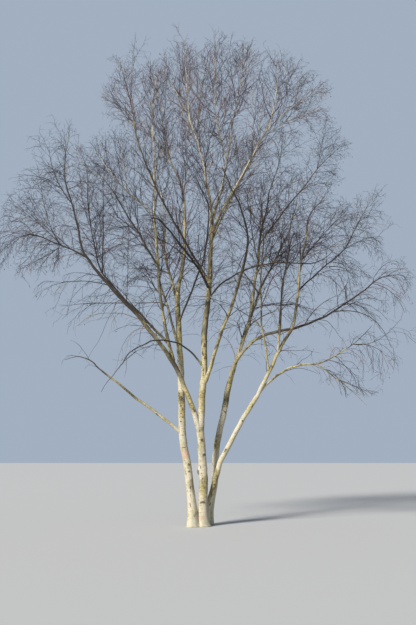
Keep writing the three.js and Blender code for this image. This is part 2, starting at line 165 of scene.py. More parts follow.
# The boughs inside the crown, each on the limb or bough that carries it
BOUGHS = tuple(starmap(Bough, (
    ("middle_spire", "leader_middle", 1, 0.5, 10, 2.8, 0, 0, 32, 8),
    ("middle_spire_fork", "middle_spire", 0.6, 0.55, 47, 1.3, -0.03, 0.1, 14, 6),
    ("middle_second", "leader_middle", 0.65, 0.55, 245, 3.6, -0.07, 0.22, 34, 8),
    ("middle_second_fork", "middle_second", 0.27, 0.2, 287, 0.75, -0.05, -0.14, 14, 6),
    ("left_spire", "leader_left", 1, 0.2, 144, 2.7, -0.05, 0, 30, 8),
    ("left_spire_side", "leader_left", 0.97, 0.95, 162, 1.9, 0.09, 0.04, 22, 7),
    ("left_spire_back", "leader_left", 0.82, 0.65, 66, 2.9, -0.12, -0.12, 26, 7),
    ("left_spire_spur", "leader_left", 0.72, 0.5, 309, 0.25, 0.05, 0.03, 12, 6),
    ("stem_spire", "left_stem_leader", 1, 0.55, 159, 3, 0, -0.06, 34, 8),
    ("stem_spire_right", "left_stem_leader", 0.72, 0.5, 284, 2.45, 0.1, -0.1, 24, 7),
    ("stem_spire_left", "left_stem_leader", 0.85, 1.25, 156, 2.15, 0.05, 0, 24, 7),
    ("upright_spire", "left_upright", 1, 0.1, 79, 2.5, 0, -0.1, 30, 8),
    ("upright_spire_back", "left_upright", 0.87, 0.55, 68, 1.15, 0.13, 0.05, 14, 6),
    ("upright_spire_front", "left_upright", 0.83, 1.2, 330, 1.3, 0.07, 0, 18, 6),
    ("dark_spire", "leader_dark", 1, 0.5, 192, 2.1, 0.09, 0.17, 32, 7),
    ("dark_spire_back", "dark_spire", 0.47, 0.3, 87, 1.65, -0.03, -0.03, 14, 6),
    ("dark_spire_low", "leader_dark", 0.9, 0.42, 226, 0.95, 0, 0.02, 14, 6),
    ("dark_spire_left", "dark_spire", 0.25, 0.65, 208, 0.6, -0.04, 0.02, 14, 6),
    ("dark_spire_far", "dark_spire", 0.13, 0.6, 161, 0.8, 0, 0, 14, 6),
    ("upright_left_up", "left_upright", 0.68, 1.75, 170, 2.1, -0.16, -0.33, 28, 7),
    ("upright_left_twin", "upright_left_up", 0.35, 0.45, 135, 1.6, 0, 0.07, 16, 6),
    ("upright_left_far", "upright_left_up", 0.52, 1.1, 202, 0.65, -0.23, 0.03, 14, 6),
    ("upright_low_side", "left_upright", 0.43, 1.5, 216, 1.1, 0.07, -0.07, 22, 8),
    ("second_up", "left_second", 1, 0.55, 170, 3.2, -0.13, 0, 34, 8),
    ("second_twin", "left_second", 0.97, 0.45, 112, 3.4, 0, 0, 26, 7),
    ("second_twin_fork", "second_twin", 0.5, 0.45, 224, 0.55, -0.06, 0.04, 12, 6),
    ("far_left_up", "left_bough_up", 1, 0.15, 129, 1.7, -0.25, 0, 36, 9),
    ("far_left_side", "left_bough_up", 0.82, 0.7, 215, 1.35, -0.12, 0.03, 22, 7),
    ("far_left_back", "left_bough_far", 0.72, 0.85, 144, 1.8, -0.04, -0.08, 20, 7),
    ("left_tip", "left_bough_far", 1, 1, 191, -0.3, 0.26, 0.02, 26, 7),
    ("left_tip_up", "left_bough_far", 0.65, 1.4, 164, 1.2, 0.04, 0.04, 18, 6),
    ("left_tip_front", "left_bough_far", 0.43, 1.05, 215, 0.65, 0.02, 0, 16, 6),
    ("left_tip_droop", "left_bough_far", 0.68, 1.05, 229, -0.85, -0.03, -0.22, 16, 6),
    ("left_tip_fork", "left_tip", 0.3, 0.9, 161, 0.65, 0.09, 0, 14, 6),
    ("outer_left_low", "left_bough_outer", 0.32, 1.55, 207, -0.3, 0.22, 0.22, 20, 6),
    ("left_low_level", "left_bough", 0.97, 1.8, 164, 0.05, 0, -0.11, 20, 6),
    ("left_low_up", "left_bough", 0.96, 0.3, 278, 1.75, -0.04, 0, 18, 6),
    ("stem_low_front", "left_stem_leader", 0.08, 1.4, 301, 0.25, -0.03, 0.14, 20, 7),
    ("dark_low_front", "leader_dark", 0.18, 0.85, 225, 0.45, -0.06, 0.02, 16, 6),
    ("stem_back_up", "left_stem_back", 1, 0.6, 140, 1.5, 0.1, 0.07, 30, 8),
    ("right_spire", "leader_right", 1, 0.3, 342, 1.85, -0.07, -0.04, 32, 8),
    ("right_spire_back", "leader_right", 0.95, 1.1, 27, 1, 0.12, 0.33, 22, 7),
    ("right_spire_arm", "leader_right", 0.9, 1.6, 342, 0.55, 0.17, -0.03, 22, 7),
    ("right_spire_fork", "right_spire", 0.37, 0.5, 38, 1.4, -0.18, 0.03, 16, 6),
    ("right_spire_far", "right_spire_back", 0.42, 1.1, 5, 0.85, 0, 0, 14, 6),
    ("right_back_spire", "leader_right_back", 1, 0.3, 70, 2.7, -0.05, 0.05, 27, 7),
    ("right_back_spur", "leader_right_back", 0.9, 0.3, 222, 0.85, 0.02, 0, 14, 6),
    ("front_up", "front_bough_up", 1, 0.3, 221, 0.45, 0.02, 0, 28, 18),
    ("front_side", "front_bough_up", 0.62, 0.6, 330, 0.05, 0.07, 0.07, 16, 6),
    ("right_top", "right_upright_top", 1, 0.55, 20, 2.2, -0.09, 0.04, 27, 7),
    ("right_top_front", "right_upright", 0.88, 0.5, 255, 2.7, 0.17, 0.17, 26, 7),
    ("right_top_back", "right_upright_top", 0.08, 0.55, 62, 2.1, 0, -0.04, 24, 7),
    ("right_top_side", "right_upright_top", 0.77, 0.95, 341, 0.6, 0.04, 0, 16, 6),
    ("right_far_top", "right_upright_outer", 1, 0.8, 7, 0.95, 0.03, -0.03, 25, 7),
    ("right_far_fork", "right_far_top", 0.3, 0.35, 324, 1.2, 0, 0.03, 14, 6),
    ("right_far_side", "right_upright_outer", 0.82, 0.85, 339, 0.1, 0.05, 0.03, 16, 6),
    ("back_right_up", "back_right_bough", 1, 0.4, 31, 1.1, 0.02, 0, 32, 14),
    ("outer_top", "outer_upright_top", 1, 0.5, 348, 0.9, 0.17, 0.06, 34, 10),
    ("outer_top_back", "outer_upright_top", 0.72, 1.35, 17, 1.5, 0.04, 0.04, 28, 7),
    ("outer_top_up", "outer_upright_top", 0.65, 0.3, 92, 1.55, 0.06, 0.03, 22, 7),
    ("outer_top_front", "outer_upright_top", 0.75, 1.05, 325, 0.1, 0.1, -0.06, 16, 6),
    ("outer_side_tip", "outer_upright_side", 1, 0.75, 7, 1.35, 0, -0.03, 23, 7),
    ("outer_side_arm", "outer_upright_side", 0.95, 0.95, 342, 0.3, 0.06, 0.04, 14, 6),
    ("outer_side_droop", "outer_upright_side", 0.93, 0.25, 301, -1.1, 0.02, 0, 12, 6),
    ("arc_tip", "arc_right", 1, 0.7, 352, 0.3, -0.1, -0.07, 25, 8),
    ("arch_tip", "right_arch_outer", 1, 1, 5, 0.35, 0.14, 0.05, 32, 8),
    ("arch_droop", "right_arch_outer", 0.47, 1.4, 339, -1, 0.38, 0.1, 24, 7),
    ("arch_up", "right_arch_outer", 0.7, 0.4, 103, 0.85, 0.08, 0, 16, 7),
    ("arch_back_droop", "right_arch_outer", 0.62, 1.2, 24, -0.5, 0.32, -0.08, 20, 7),
    ("arch_front_up", "right_arch_outer", 0.12, 0.95, 336, 0.7, 0.1, 0.1, 20, 7),
    ("arch_tip_droop", "arch_tip", 0.15, 0.75, 336, -0.85, 0.15, 0.09, 16, 6),
    ("low_tip", "outer_low", 1, 1.3, 356, 0.9, -0.1, -0.06, 30, 8),
    ("low_tip_back", "low_tip", 0.6, 1.35, 16, 0.7, -0.2, -0.15, 16, 6),
    ("low_tip_front", "low_tip", 0.6, 0.85, 332, -0.55, 0.18, -0.08, 14, 6),
    ("low_droop", "outer_low", 0.97, 1.1, 344, -1, 0.03, 0.09, 26, 7),
    ("low_droop_fork", "low_droop", 0.43, 0.95, 12, -0.35, 0, 0.02, 14, 6),
    ("outer_inner_up", "outer_upright", 0.62, 0.8, 60, 2.4, 0.05, -0.05, 32, 10),
)))


MM_PER_METRE = 1000
TINY = 1e-9
SMALLEST_CUT = 1e-6
SMALLEST_SPAN = 1e-12

# Large numbers that scatter the noise's values over its cells
CELL_KEYS = np.array([73856093, 19349663, 83492791])
SEED_KEY = 2654435761
MIX_KEYS = ((13, 1274126177), (15, 668265263))
KEY_BITS = 0x7FFFFFFF
VALUE_BITS = 0xFFFF


def unit(vectors: Array) -> Array:
    """Returns the vectors at a length of one."""
    return vectors / np.maximum(np.linalg.norm(vectors, axis=-1, keepdims=True), TINY)


def bearing_vector(bearing: float) -> Array:
    """Returns the level unit vector of a bearing in degrees."""
    angle = math.radians(bearing)
    return np.array([math.cos(angle), math.sin(angle), 0.0])


def eased(share: Array) -> Array:
    """Returns a share from 0 to 1 that starts and ends gently."""
    return share * share * (3 - 2 * share)


@dataclass(frozen=True)
class Curve:
    """Values at places in rising order, with straight runs between them."""

    places: tuple
    values: tuple

    def at(self, places: Array) -> Array:
        """Returns the values there, which hold the end values beyond the ends."""
        return np.interp(places, self.places, self.values)


def soft_noise(places: Array, seed: int) -> Array:
    """Gives smooth noise with cells of one unit.

    Args:
        places: Points, one row each.
        seed: Which noise.

    Returns:
        One value from -1 to 1 for each point.
    """
    cell = np.floor(places).astype(np.int64)
    share = eased(places - cell)
    total = np.zeros(len(places))
    for corner in product((0, 1), repeat=3):
        key = (cell + corner) @ CELL_KEYS + seed * SEED_KEY
        for shift, factor in MIX_KEYS:
            key = ((key ^ (key >> shift)) * factor) & KEY_BITS
        weight = np.where(corner, share, 1 - share).prod(1)
        total += weight * ((key & VALUE_BITS) / (VALUE_BITS / 2) - 1)
    return total


def soft_steps(place: Array, places: Array, values: Array) -> Array:
    """Runs smoothly from value to value.

    Args:
        place: Where the result is wanted.
        places: Where the values lie, in order.
        values: The values.

    Returns:
        The result at each place, which holds the end values beyond the ends.
    """
    step = np.interp(place, places, np.arange(len(places)))
    k = np.minimum(step.astype(int), len(places) - 2)
    share = eased(step - k)
    return values[k] * (1 - share) + values[k + 1] * share


@dataclass
class Line:
    """The middle line of a limb, from foot to tip, with its radii."""

    points: Array
    radii: Array

    @property
    def along(self) -> Array:
        """The distance of each point from the foot."""
        steps = np.linalg.norm(np.diff(self.points, axis=0), axis=1)
        return np.concatenate([[0.0], np.cumsum(steps)])

    def at(self, distances: Array) -> tuple[Array, Array]:
        """Finds places on the smooth curve through the points.

        Args:
            distances: How far along from the foot.

        Returns:
            The points and the radii there.
        """
        along = self.along
        values = np.column_stack([self.points, self.radii])
        slopes = np.gradient(values, along, axis=0)
        k = np.clip(np.searchsorted(along, distances, side="right") - 1, 0, len(along) - 2)
        width = (along[k + 1] - along[k])[:, None]
        t = (np.asarray(distances) - along[k])[:, None] / width
        found = (
            values[k] * (2 * t**3 - 3 * t**2 + 1)
            + values[k + 1] * (3 * t**2 - 2 * t**3)
            + slopes[k] * width * (t**3 - 2 * t**2 + t)
            + slopes[k + 1] * width * (t**3 - t**2)
        )
        return found[:, :3], found[:, 3]

    def spread(self, number: int) -> tuple[Array, Array]:
        """Returns the points and the radii at evenly spread places from foot to tip."""
        return self.at(np.linspace(0, self.along[-1], number))


def plane_cut(
    corners: Array, point: Array, normal: Array, reach: float
) -> tuple[Array | None, float]:
    """Cuts a closed solid with a plane.

    Args:
        corners: The solid's triangles, (n, 3, 3).
        point: A point of the plane.
        normal: The plane's normal.
        reach: Parts of the cut further than this from the point don't count.

    Returns:
        The middle of the cut and its area, or None and 0 where there is no cut.
    """
    height = (corners - point) @ normal
    above = height > 0
    cut = above.any(1) & ~above.all(1)
    corners, height, above = corners[cut], height[cut], above[cut]
    rows = np.arange(len(corners))
    lone = np.where(above.sum(1) == 1, above.argmax(1), (~above).argmax(1))
    own = corners[rows, lone]
    ends = []
    for turn in (1, 2):
        other = (lone + turn) % 3
        share = height[rows, lone] / (height[rows, lone] - height[rows, other])
        ends.append(own + (corners[rows, other] - own) * share[:, None])
    start, stop = ends
    near = np.linalg.norm(start - point, axis=1) < reach
    start, stop, corners = start[near], stop[near], corners[near]
    face = np.cross(corners[:, 1] - corners[:, 0], corners[:, 2] - corners[:, 0])
    back = ((stop - start) * np.cross(normal, face)).sum(1) < 0
    start[back], stop[back] = stop[back], start[back].copy()
    spans = 0.5 * np.cross(start - point, stop - point) @ normal
    area = spans.sum()
    if area < SMALLEST_CUT:
        return None, 0.0
    return point + ((start + stop - 2 * point) / 3 * spans[:, None]).sum(0) / area, area


def node_corners(name: str) -> Array:
    """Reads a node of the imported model.

    Args:
        name: The node's name.

    Returns:
        The corners of its triangles, (n, 3, 3).
    """
    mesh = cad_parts[name].data
    mesh.calc_loop_triangles()
    vertices = np.empty(len(mesh.vertices) * 3, np.float32)
    mesh.vertices.foreach_get("co", vertices)
    triangles = np.empty(len(mesh.loop_triangles) * 3, np.int32)
    mesh.loop_triangles.foreach_get("vertices", triangles)
    return vertices.reshape(-1, 3).astype(float)[triangles.reshape(-1, 3)]


@dataclass
class Skeleton:
    """The middle lines of every limb and crown bough."""

    cuts: int = 16
    first_cut: float = 0.08
    last_cut: float = 0.97
    cut_reach: float = 0.35
    ground_cut: float = 0.01
    corner_fill: float = 2.75
    flare_top: float = 0.45
    taper_cuts: int = 5
    line_samples: int = 200
    longest_foot: float = 0.6
    foot_slant: float = 0.15
    longest_buried: float = 0.8
    least_buried: float = 0.01
    buried_samples: int = 40
    bough_points: int = 18
    bough_width: float = 0.8
    bough_paleness: float = 0.9
    bough_grime: float = 0.05
    lines: dict[str, Line] = field(default_factory=dict)
    forks: dict[str, list] = field(default_factory=dict)
    tones: dict[str, tuple] = field(default_factory=dict)
    runs: dict[str, list[str]] = field(default_factory=dict)
    carriers: dict[str, str] = field(default_factory=dict)
    buried: dict[str, float] = field(default_factory=dict)

    def __post_init__(self) -> None:
        """Takes in the model's limbs and draws the crown's boughs on them."""
        for limb in LIMBS:
            self.add(limb.name, limb.on, limb.grows_on, self.read(limb), BARK_TONES[limb.finish])
        for bough in BOUGHS:
            self.add(bough.name, bough.on, bough.grows_on, self.draw(bough))

    def add(self, name: str, on: str, grows_on: bool, line: Line, tone: tuple = ()) -> None:
        """Takes a line into the skeleton.

        Args:
            name: The name of its limb.
            on: The limb that carries it.
            grows_on: Whether it carries that limb's tip onwards.
            line: The line.
            tone: The tone of its bark, or none to follow its carrier's.
        """
        self.lines[name] = line
        if not tone:
            pale, warm, grime = self.tones[on]
            tone = (pale * self.bough_paleness, warm, min(1.0, grime + self.bough_grime))
        self.tones[name] = tone
        if grows_on:
            next(run for run in self.runs.values() if run[-1] == on).append(name)
            return
        self.runs[name] = [name]
        if on:
            self.forks.setdefault(on, []).append((line.points[0], line.radii[1]))
            self.carriers[name] = on
            self.buried[name] = self.buried_length(on, line)

    def buried_length(self, on: str, line: Line) -> float:
        """Finds how far along a line it comes out of its carrier's bark.

        Args:
            on: The carrier's name.
            line: The line.

        Returns:
            The distance from the line's foot.
        """
        places = np.linspace(0, min(self.longest_buried, line.along[-1]), self.buried_samples)
        points, _ = line.at(places)
        spots, radii = self.lines[on].spread(self.line_samples)
        gaps = np.linalg.norm(points[:, None] - spots, axis=2)
        outside = gaps.min(1) > radii[gaps.argmin(1)]
        return float(max(places[outside.argmax()], self.least_buried))

    def long_axis(self, spread: Array, carrier: Line | None) -> tuple[Array, Array, Array]:
        """Finds the long axis of a limb's solid.

        Args:
            spread: The corners of its triangles, one row each.
            carrier: The line that it grows from, or None for a stem.

        Returns:
            The middle, the axis from foot to tip, and how far along it each corner lies.
        """
        middle = spread.mean(0)
        axis = np.linalg.svd(spread - middle, full_matrices=False)[2][0]
        heights = (spread - middle) @ axis
        if carrier is None:
            flip = axis[2] < 0
        else:
            ends = [spread[heights.argmin()], spread[heights.argmax()]]
            gaps = [np.linalg.norm(carrier.points - end, axis=1).min() for end in ends]
            flip = gaps[1] < gaps[0]
        return (middle, -axis, -heights) if flip else (middle, axis, heights)

    def read(self, limb: Limb) -> Line:
        """Takes a limb's line and radii from its solid.

        Args:
            limb: The limb.

        Returns:
            Its line, with its foot on its carrier's line.
        """
        corners = node_corners(limb.name)
        spread = corners.reshape(-1, 3)
        carrier = self.lines.get(limb.on)
        middle, axis, heights = self.long_axis(spread, carrier)
        low, high = heights.min(), heights.max()
        length = high - low
        first = self.flare_top / length if carrier is None else self.first_cut
        centres = np.array([
            plane_cut(corners, middle + axis * (low + length * share), axis, length)[0]
            for share in np.linspace(first, self.last_cut, self.cuts)
        ])
        cuts = [
            plane_cut(corners, centre, slope, self.cut_reach)
            for centre, slope in zip(centres, unit(np.gradient(centres, axis=0)), strict=True)
        ]
        points = np.array([
            centre if found is None else found
            for centre, (found, _) in zip(centres, cuts, strict=True)
        ])
        radii = np.sqrt(np.array([area for _, area in cuts]) / self.corner_fill) * limb.fullness
        left = high - (points[-1] - middle) @ axis
        slope = unit(points[-1] - points[-2])
        tip = points[-1] + slope * left / (slope @ axis)
        if carrier is None:
            lowest = np.array([*spread[heights.argmin()][:2], self.ground_cut])
            cut, _ = plane_cut(corners, lowest, UP, length)
            foot = np.array([cut[0], cut[1], 0.0])
        else:
            foot = self.foot_on(carrier, points[0], unit(points[0] - points[1]), limb.grows_on)
        last = self.taper_cuts - 1
        taper = np.polyfit(np.linspace(0, 1, self.taper_cuts), radii[: self.taper_cuts], 1)
        back = np.linalg.norm(points[0] - foot) / np.linalg.norm(points[last] - points[0])
        foot_radius = np.polyval(taper, -back)
        return Line(
            np.vstack([foot, points, tip]), np.concatenate([[foot_radius], radii, radii[-1:]])
        )

    def foot_on(self, carrier: Line, start: Array, back: Array, at_tip: bool) -> Array:
        """Finds where a limb's line, carried back, meets its carrier's line.

        Args:
            carrier: The carrier's line.
            start: The first point of the limb's line.
            back: The way from there towards its foot.
            at_tip: Whether the limb carries its carrier's tip onwards.

        Returns:
            The place of the limb's foot.
        """
        if at_tip:
            return carrier.points[-1]
        places, _ = carrier.spread(self.line_samples)
        ahead = np.clip((places - start) @ back, 0, self.longest_foot)
        gaps = np.linalg.norm(places - start - ahead[:, None] * back, axis=1)
        return places[(gaps + self.foot_slant * ahead).argmin()]

    def draw(self, bough: Bough) -> Line:
        """Draws a crown bough's bowed line from its sizes.

        Args:
            bough: The bough.

        Returns:
            Its line.
        """
        carrier = self.lines[bough.on]
        place, radius = carrier.at(np.array([carrier.along[-1] * bough.at]))
        foot = carrier.points[-1] if bough.grows_on else place[0]
        way = bearing_vector(bough.bearing)
        chord = way * bough.reach + UP * bough.rise
        side = np.array([way[1], -way[0], 0.0])
        over = unit(np.cross(side, chord))
        t = np.linspace(0, 1, self.bough_points)[:, None]
        bow = 4 * t * (1 - t)
        points = foot + chord * t + over * bough.arch * bow + side * bough.sway * bow
        radii = np.array([bough.foot, bough.tip]) / 2 / MM_PER_METRE
        radii = np.interp(t[:, 0], [0, 1], radii)
        if not bough.grows_on:
            radii = np.minimum(radii, self.bough_width * radius[0])
        return Line(points, radii)


@dataclass
class Shape:
    """Triangles with values for each vertex, gathered into one piece."""

    vertices: Array
    triangles: Array
    values: dict[str, Array] = field(default_factory=dict)
    looks: Array | None = None


def join_shapes(shapes: list[Shape]) -> Shape:
    """Joins shapes into one, with their values.

    Args:
        shapes: Shapes that hold the same kinds of values.

    Returns:
        The joined shape.
    """
    starts = np.cumsum([0] + [len(shape.vertices) for shape in shapes[:-1]])
    looks = None
    if shapes[0].looks is not None:
        looks = np.concatenate([shape.looks for shape in shapes])
    return Shape(
        np.vstack([shape.vertices for shape in shapes]),
        np.vstack([shape.triangles + start for shape, start in zip(shapes, starts, strict=True)]),
        {key: np.vstack([shape.values[key] for shape in shapes]) for key in shapes[0].values},
        looks,
    )


def ring_sheets(lower: Array, upper: Array, sides: int) -> tuple[Array, Array]:
    """Joins pairs of rings by triangles.

    Args:
        lower: The first vertex of each lower ring.
        upper: The first vertex of each upper ring.
        sides: The number of vertices in a ring.

    Returns:
        The triangles that stand on the lower rings and those on the upper ones, (n, sides, 3).
    """
    k = np.arange(sides)
    after = (k + 1) % sides
    lower, upper = lower[:, None], upper[:, None]
    standing = np.stack([lower + k, lower + after, upper + after], 2)
    return standing, np.stack([lower + k, upper + after, upper + k], 2)


def spoke_ways(aside: Array, ahead: Array, sides: int) -> Array:
    """Returns the ways from rings' middles to their sides, from the ways aside and ahead."""
    turn = (np.arange(sides) * 2 * math.pi / sides)[:, None]
    return aside[..., None, :] * np.cos(turn) + ahead[..., None, :] * np.sin(turn)


def put_in_scene(name: str, data: bpy.types.ID) -> bpy.types.Object:
    """Makes an object and links it to the scene.

    Args:
        name: The object's name.
        data: Its mesh, light or camera.

    Returns:
        The new object.
    """
    made = bpy.data.objects.new(name, data)
    bpy.context.scene.collection.objects.link(made)
    return made


def make_piece(name: str, shape: Shape, materials: list) -> bpy.types.Object:
    """Makes a piece that rides on the tree.

    Args:
        name: The piece's name.
        shape: Its triangles.
        materials: Its materials, which the shape's looks pick from.

    Returns:
        The new object.
    """
    mesh = bpy.data.meshes.new(name)
    count = len(shape.triangles)
    mesh.vertices.add(len(shape.vertices))
    mesh.vertices.foreach_set("co", shape.vertices.astype(np.float32).ravel())
    mesh.loops.add(count * 3)
    mesh.loops.foreach_set("vertex_index", shape.triangles.astype(np.int32).ravel())
    mesh.polygons.add(count)
    mesh.polygons.foreach_set("loop_start", np.arange(0, count * 3, 3, dtype=np.int32))
    mesh.polygons.foreach_set("use_smooth", np.ones(count, bool))
    if shape.looks is not None:
        mesh.polygons.foreach_set("material_index", shape.looks.astype(np.int32))
    for key, values in shape.values.items():
        layer = mesh.attributes.new(key, "FLOAT_VECTOR", "POINT")
        layer.data.foreach_set("vector", values.astype(np.float32).ravel())
    mesh.update(calc_edges=True)
    mesh.validate()
    for material in materials:
        mesh.materials.append(material)
    piece = put_in_scene(name, mesh)
    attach(piece, "root")
    return piece


@dataclass(frozen=True)
class Scar:
    """A knot, an arched brow over an old branch's foot, or a crack, in metres and degrees."""

    height: float
    bearing: float
    wide: float
    tall: float
    swell: float
    brow: float = 0.0
    shade: float = 1.0


@dataclass(frozen=True)
class Band:
    """A stretch of a stem, between two heights, whose paleness, warmth and grime differ; one of
    them is painted shadow.
    """

    low: float
    high: float
    pale: float
    warm: float
    grime: float


# The scars on each stem
SCARS = {
    "stem_middle": (
        Scar(0.56, 266, 0.085, 0.030, 0.010, 1.6),
        Scar(1.24, 186, 0.060, 0.085, 0.034),
        Scar(1.31, 350, 0.055, 0.060, 0.014, 0.0, 0.2),
        Scar(1.30, 270, 0.160, 0.014, 0.006, 0.1, 0.2),
        Scar(1.98, 279, 0.042, 0.044, 0.010),
        Scar(1.64, 302, 0.056, 0.040, 0.012, 0.7),
        Scar(0.86, 20, 0.040, 0.030, 0.010, 0.6),
        Scar(1.45, 95, 0.045, 0.035, 0.010, 0.6),
    ),
    "stem_left": (
        Scar(1.40, 296, 0.036, 0.034, 0.009),
        Scar(1.24, 286, 0.036, 0.026, 0.008, 0.4),
        Scar(1.80, 270, 0.090, 0.018, -0.007, -0.3, 0.8),
        Scar(2.80, 252, 0.034, 0.022, 0.004, 0.4),
        Scar(2.72, 284, 0.024, 0.030, 0.004),
        Scar(2.62, 260, 0.036, 0.018, 0.004, 0.5),
        Scar(2.53, 290, 0.030, 0.020, 0.004, 0.6),
        Scar(2.42, 254, 0.028, 0.024, 0.004),
        Scar(2.10, 272, 0.020, 0.016, 0.003),
        Scar(3.35, 300, 0.035, 0.030, 0.007, 0.8),
        Scar(0.70, 60, 0.040, 0.032, 0.010, 0.6),
        Scar(2.05, 110, 0.045, 0.030, 0.009, 0.7),
        Scar(4.35, 255, 0.028, 0.024, 0.006, 0.8),
    ),
    "stem_right": (
        Scar(0.19, 250, 0.045, 0.050, 0.018),
        Scar(1.10, 285, 0.034, 0.026, 0.007, 0.8),
        Scar(1.95, 240, 0.030, 0.028, 0.007),
        Scar(2.70, 290, 0.034, 0.024, 0.006, 0.8),
        Scar(1.55, 75, 0.040, 0.030, 0.009, 0.7),
    ),
    "stem_outer": (
        Scar(0.95, 275, 0.030, 0.026, 0.007, 0.8),
        Scar(1.75, 250, 0.026, 0.024, 0.006),
        Scar(2.45, 285, 0.030, 0.022, 0.006, 0.8),
        Scar(1.35, 90, 0.034, 0.028, 0.008, 0.7),
    ),
}

# The bands on each stem; stem_middle's darker stretch from 0.72 to 1.12 m is painted shadow
BANDS = {
    "stem_left": (
        Band(0.00, 0.22, 0.15, -0.30, -0.15),
        Band(0.78, 1.04, -0.34, 0.00, 0.30),
        Band(1.56, 1.79, 0.05, 2.60, -0.10),
        Band(2.92, 3.20, -0.42, 0.20, 0.20),
    ),
    "stem_middle": (
        Band(0.12, 0.36, -0.08, 0.90, 0.05),
        # Painted shadow: darker and greyer where a cast shadow falls on the stem
        Band(0.72, 1.12, -0.22, 0.00, 0.22),
        Band(1.55, 1.95, -0.12, 0.20, 0.10),
    ),
    "stem_outer": (
        Band(0.75, 1.35, -0.26, 0.10, 0.20),
    ),
    "stem_right": (
        Band(1.85, 2.15, -0.30, 0.00, 0.25),
        Band(2.95, 3.10, -0.35, 0.10, 0.10),
    ),
}

# The paleness, warmth and grime of each bark
BARK_TONES = {WHITE: (0.92, 0.50, 0.34), CREAM: (0.72, 0.55, 0.42), DARK: (0.10, 0.35, 0.66)}

# The bearing and the reach of each stem's root toes
STEM_TOES = {
    "stem_middle": ((184, 0.045), (68, 0.070), (345, 0.060), (255, 0.020)),
    "stem_left": ((2, 0.046), (205, 0.016), (110, 0.020)),
    "stem_outer": ((250, 0.044), (55, 0.044), (330, 0.025)),
    "stem_right": ((235, 0.044), (20, 0.030), (110, 0.020)),
}

# How far to the right a stem's crooks take it, by height
STEM_CROOKS = {
    "stem_middle": ((0.4, 0.0), (1.4, 0.012), (2.2, 0.0)),
    "stem_left": (
        (0.1, 0.02), (0.6, 0.038), (1.3, 0.024), (2.1, -0.046), (2.9, -0.024), (4.0, 0.0)
    ),
    "stem_outer": ((0.5, 0.0), (1.3, 0.036), (1.9, 0.058), (2.6, 0.038), (3.6, 0.0)),
    "stem_right": ((0.5, 0.0), (1.3, 0.030), (2.1, -0.022), (3.0, 0.0)),
}


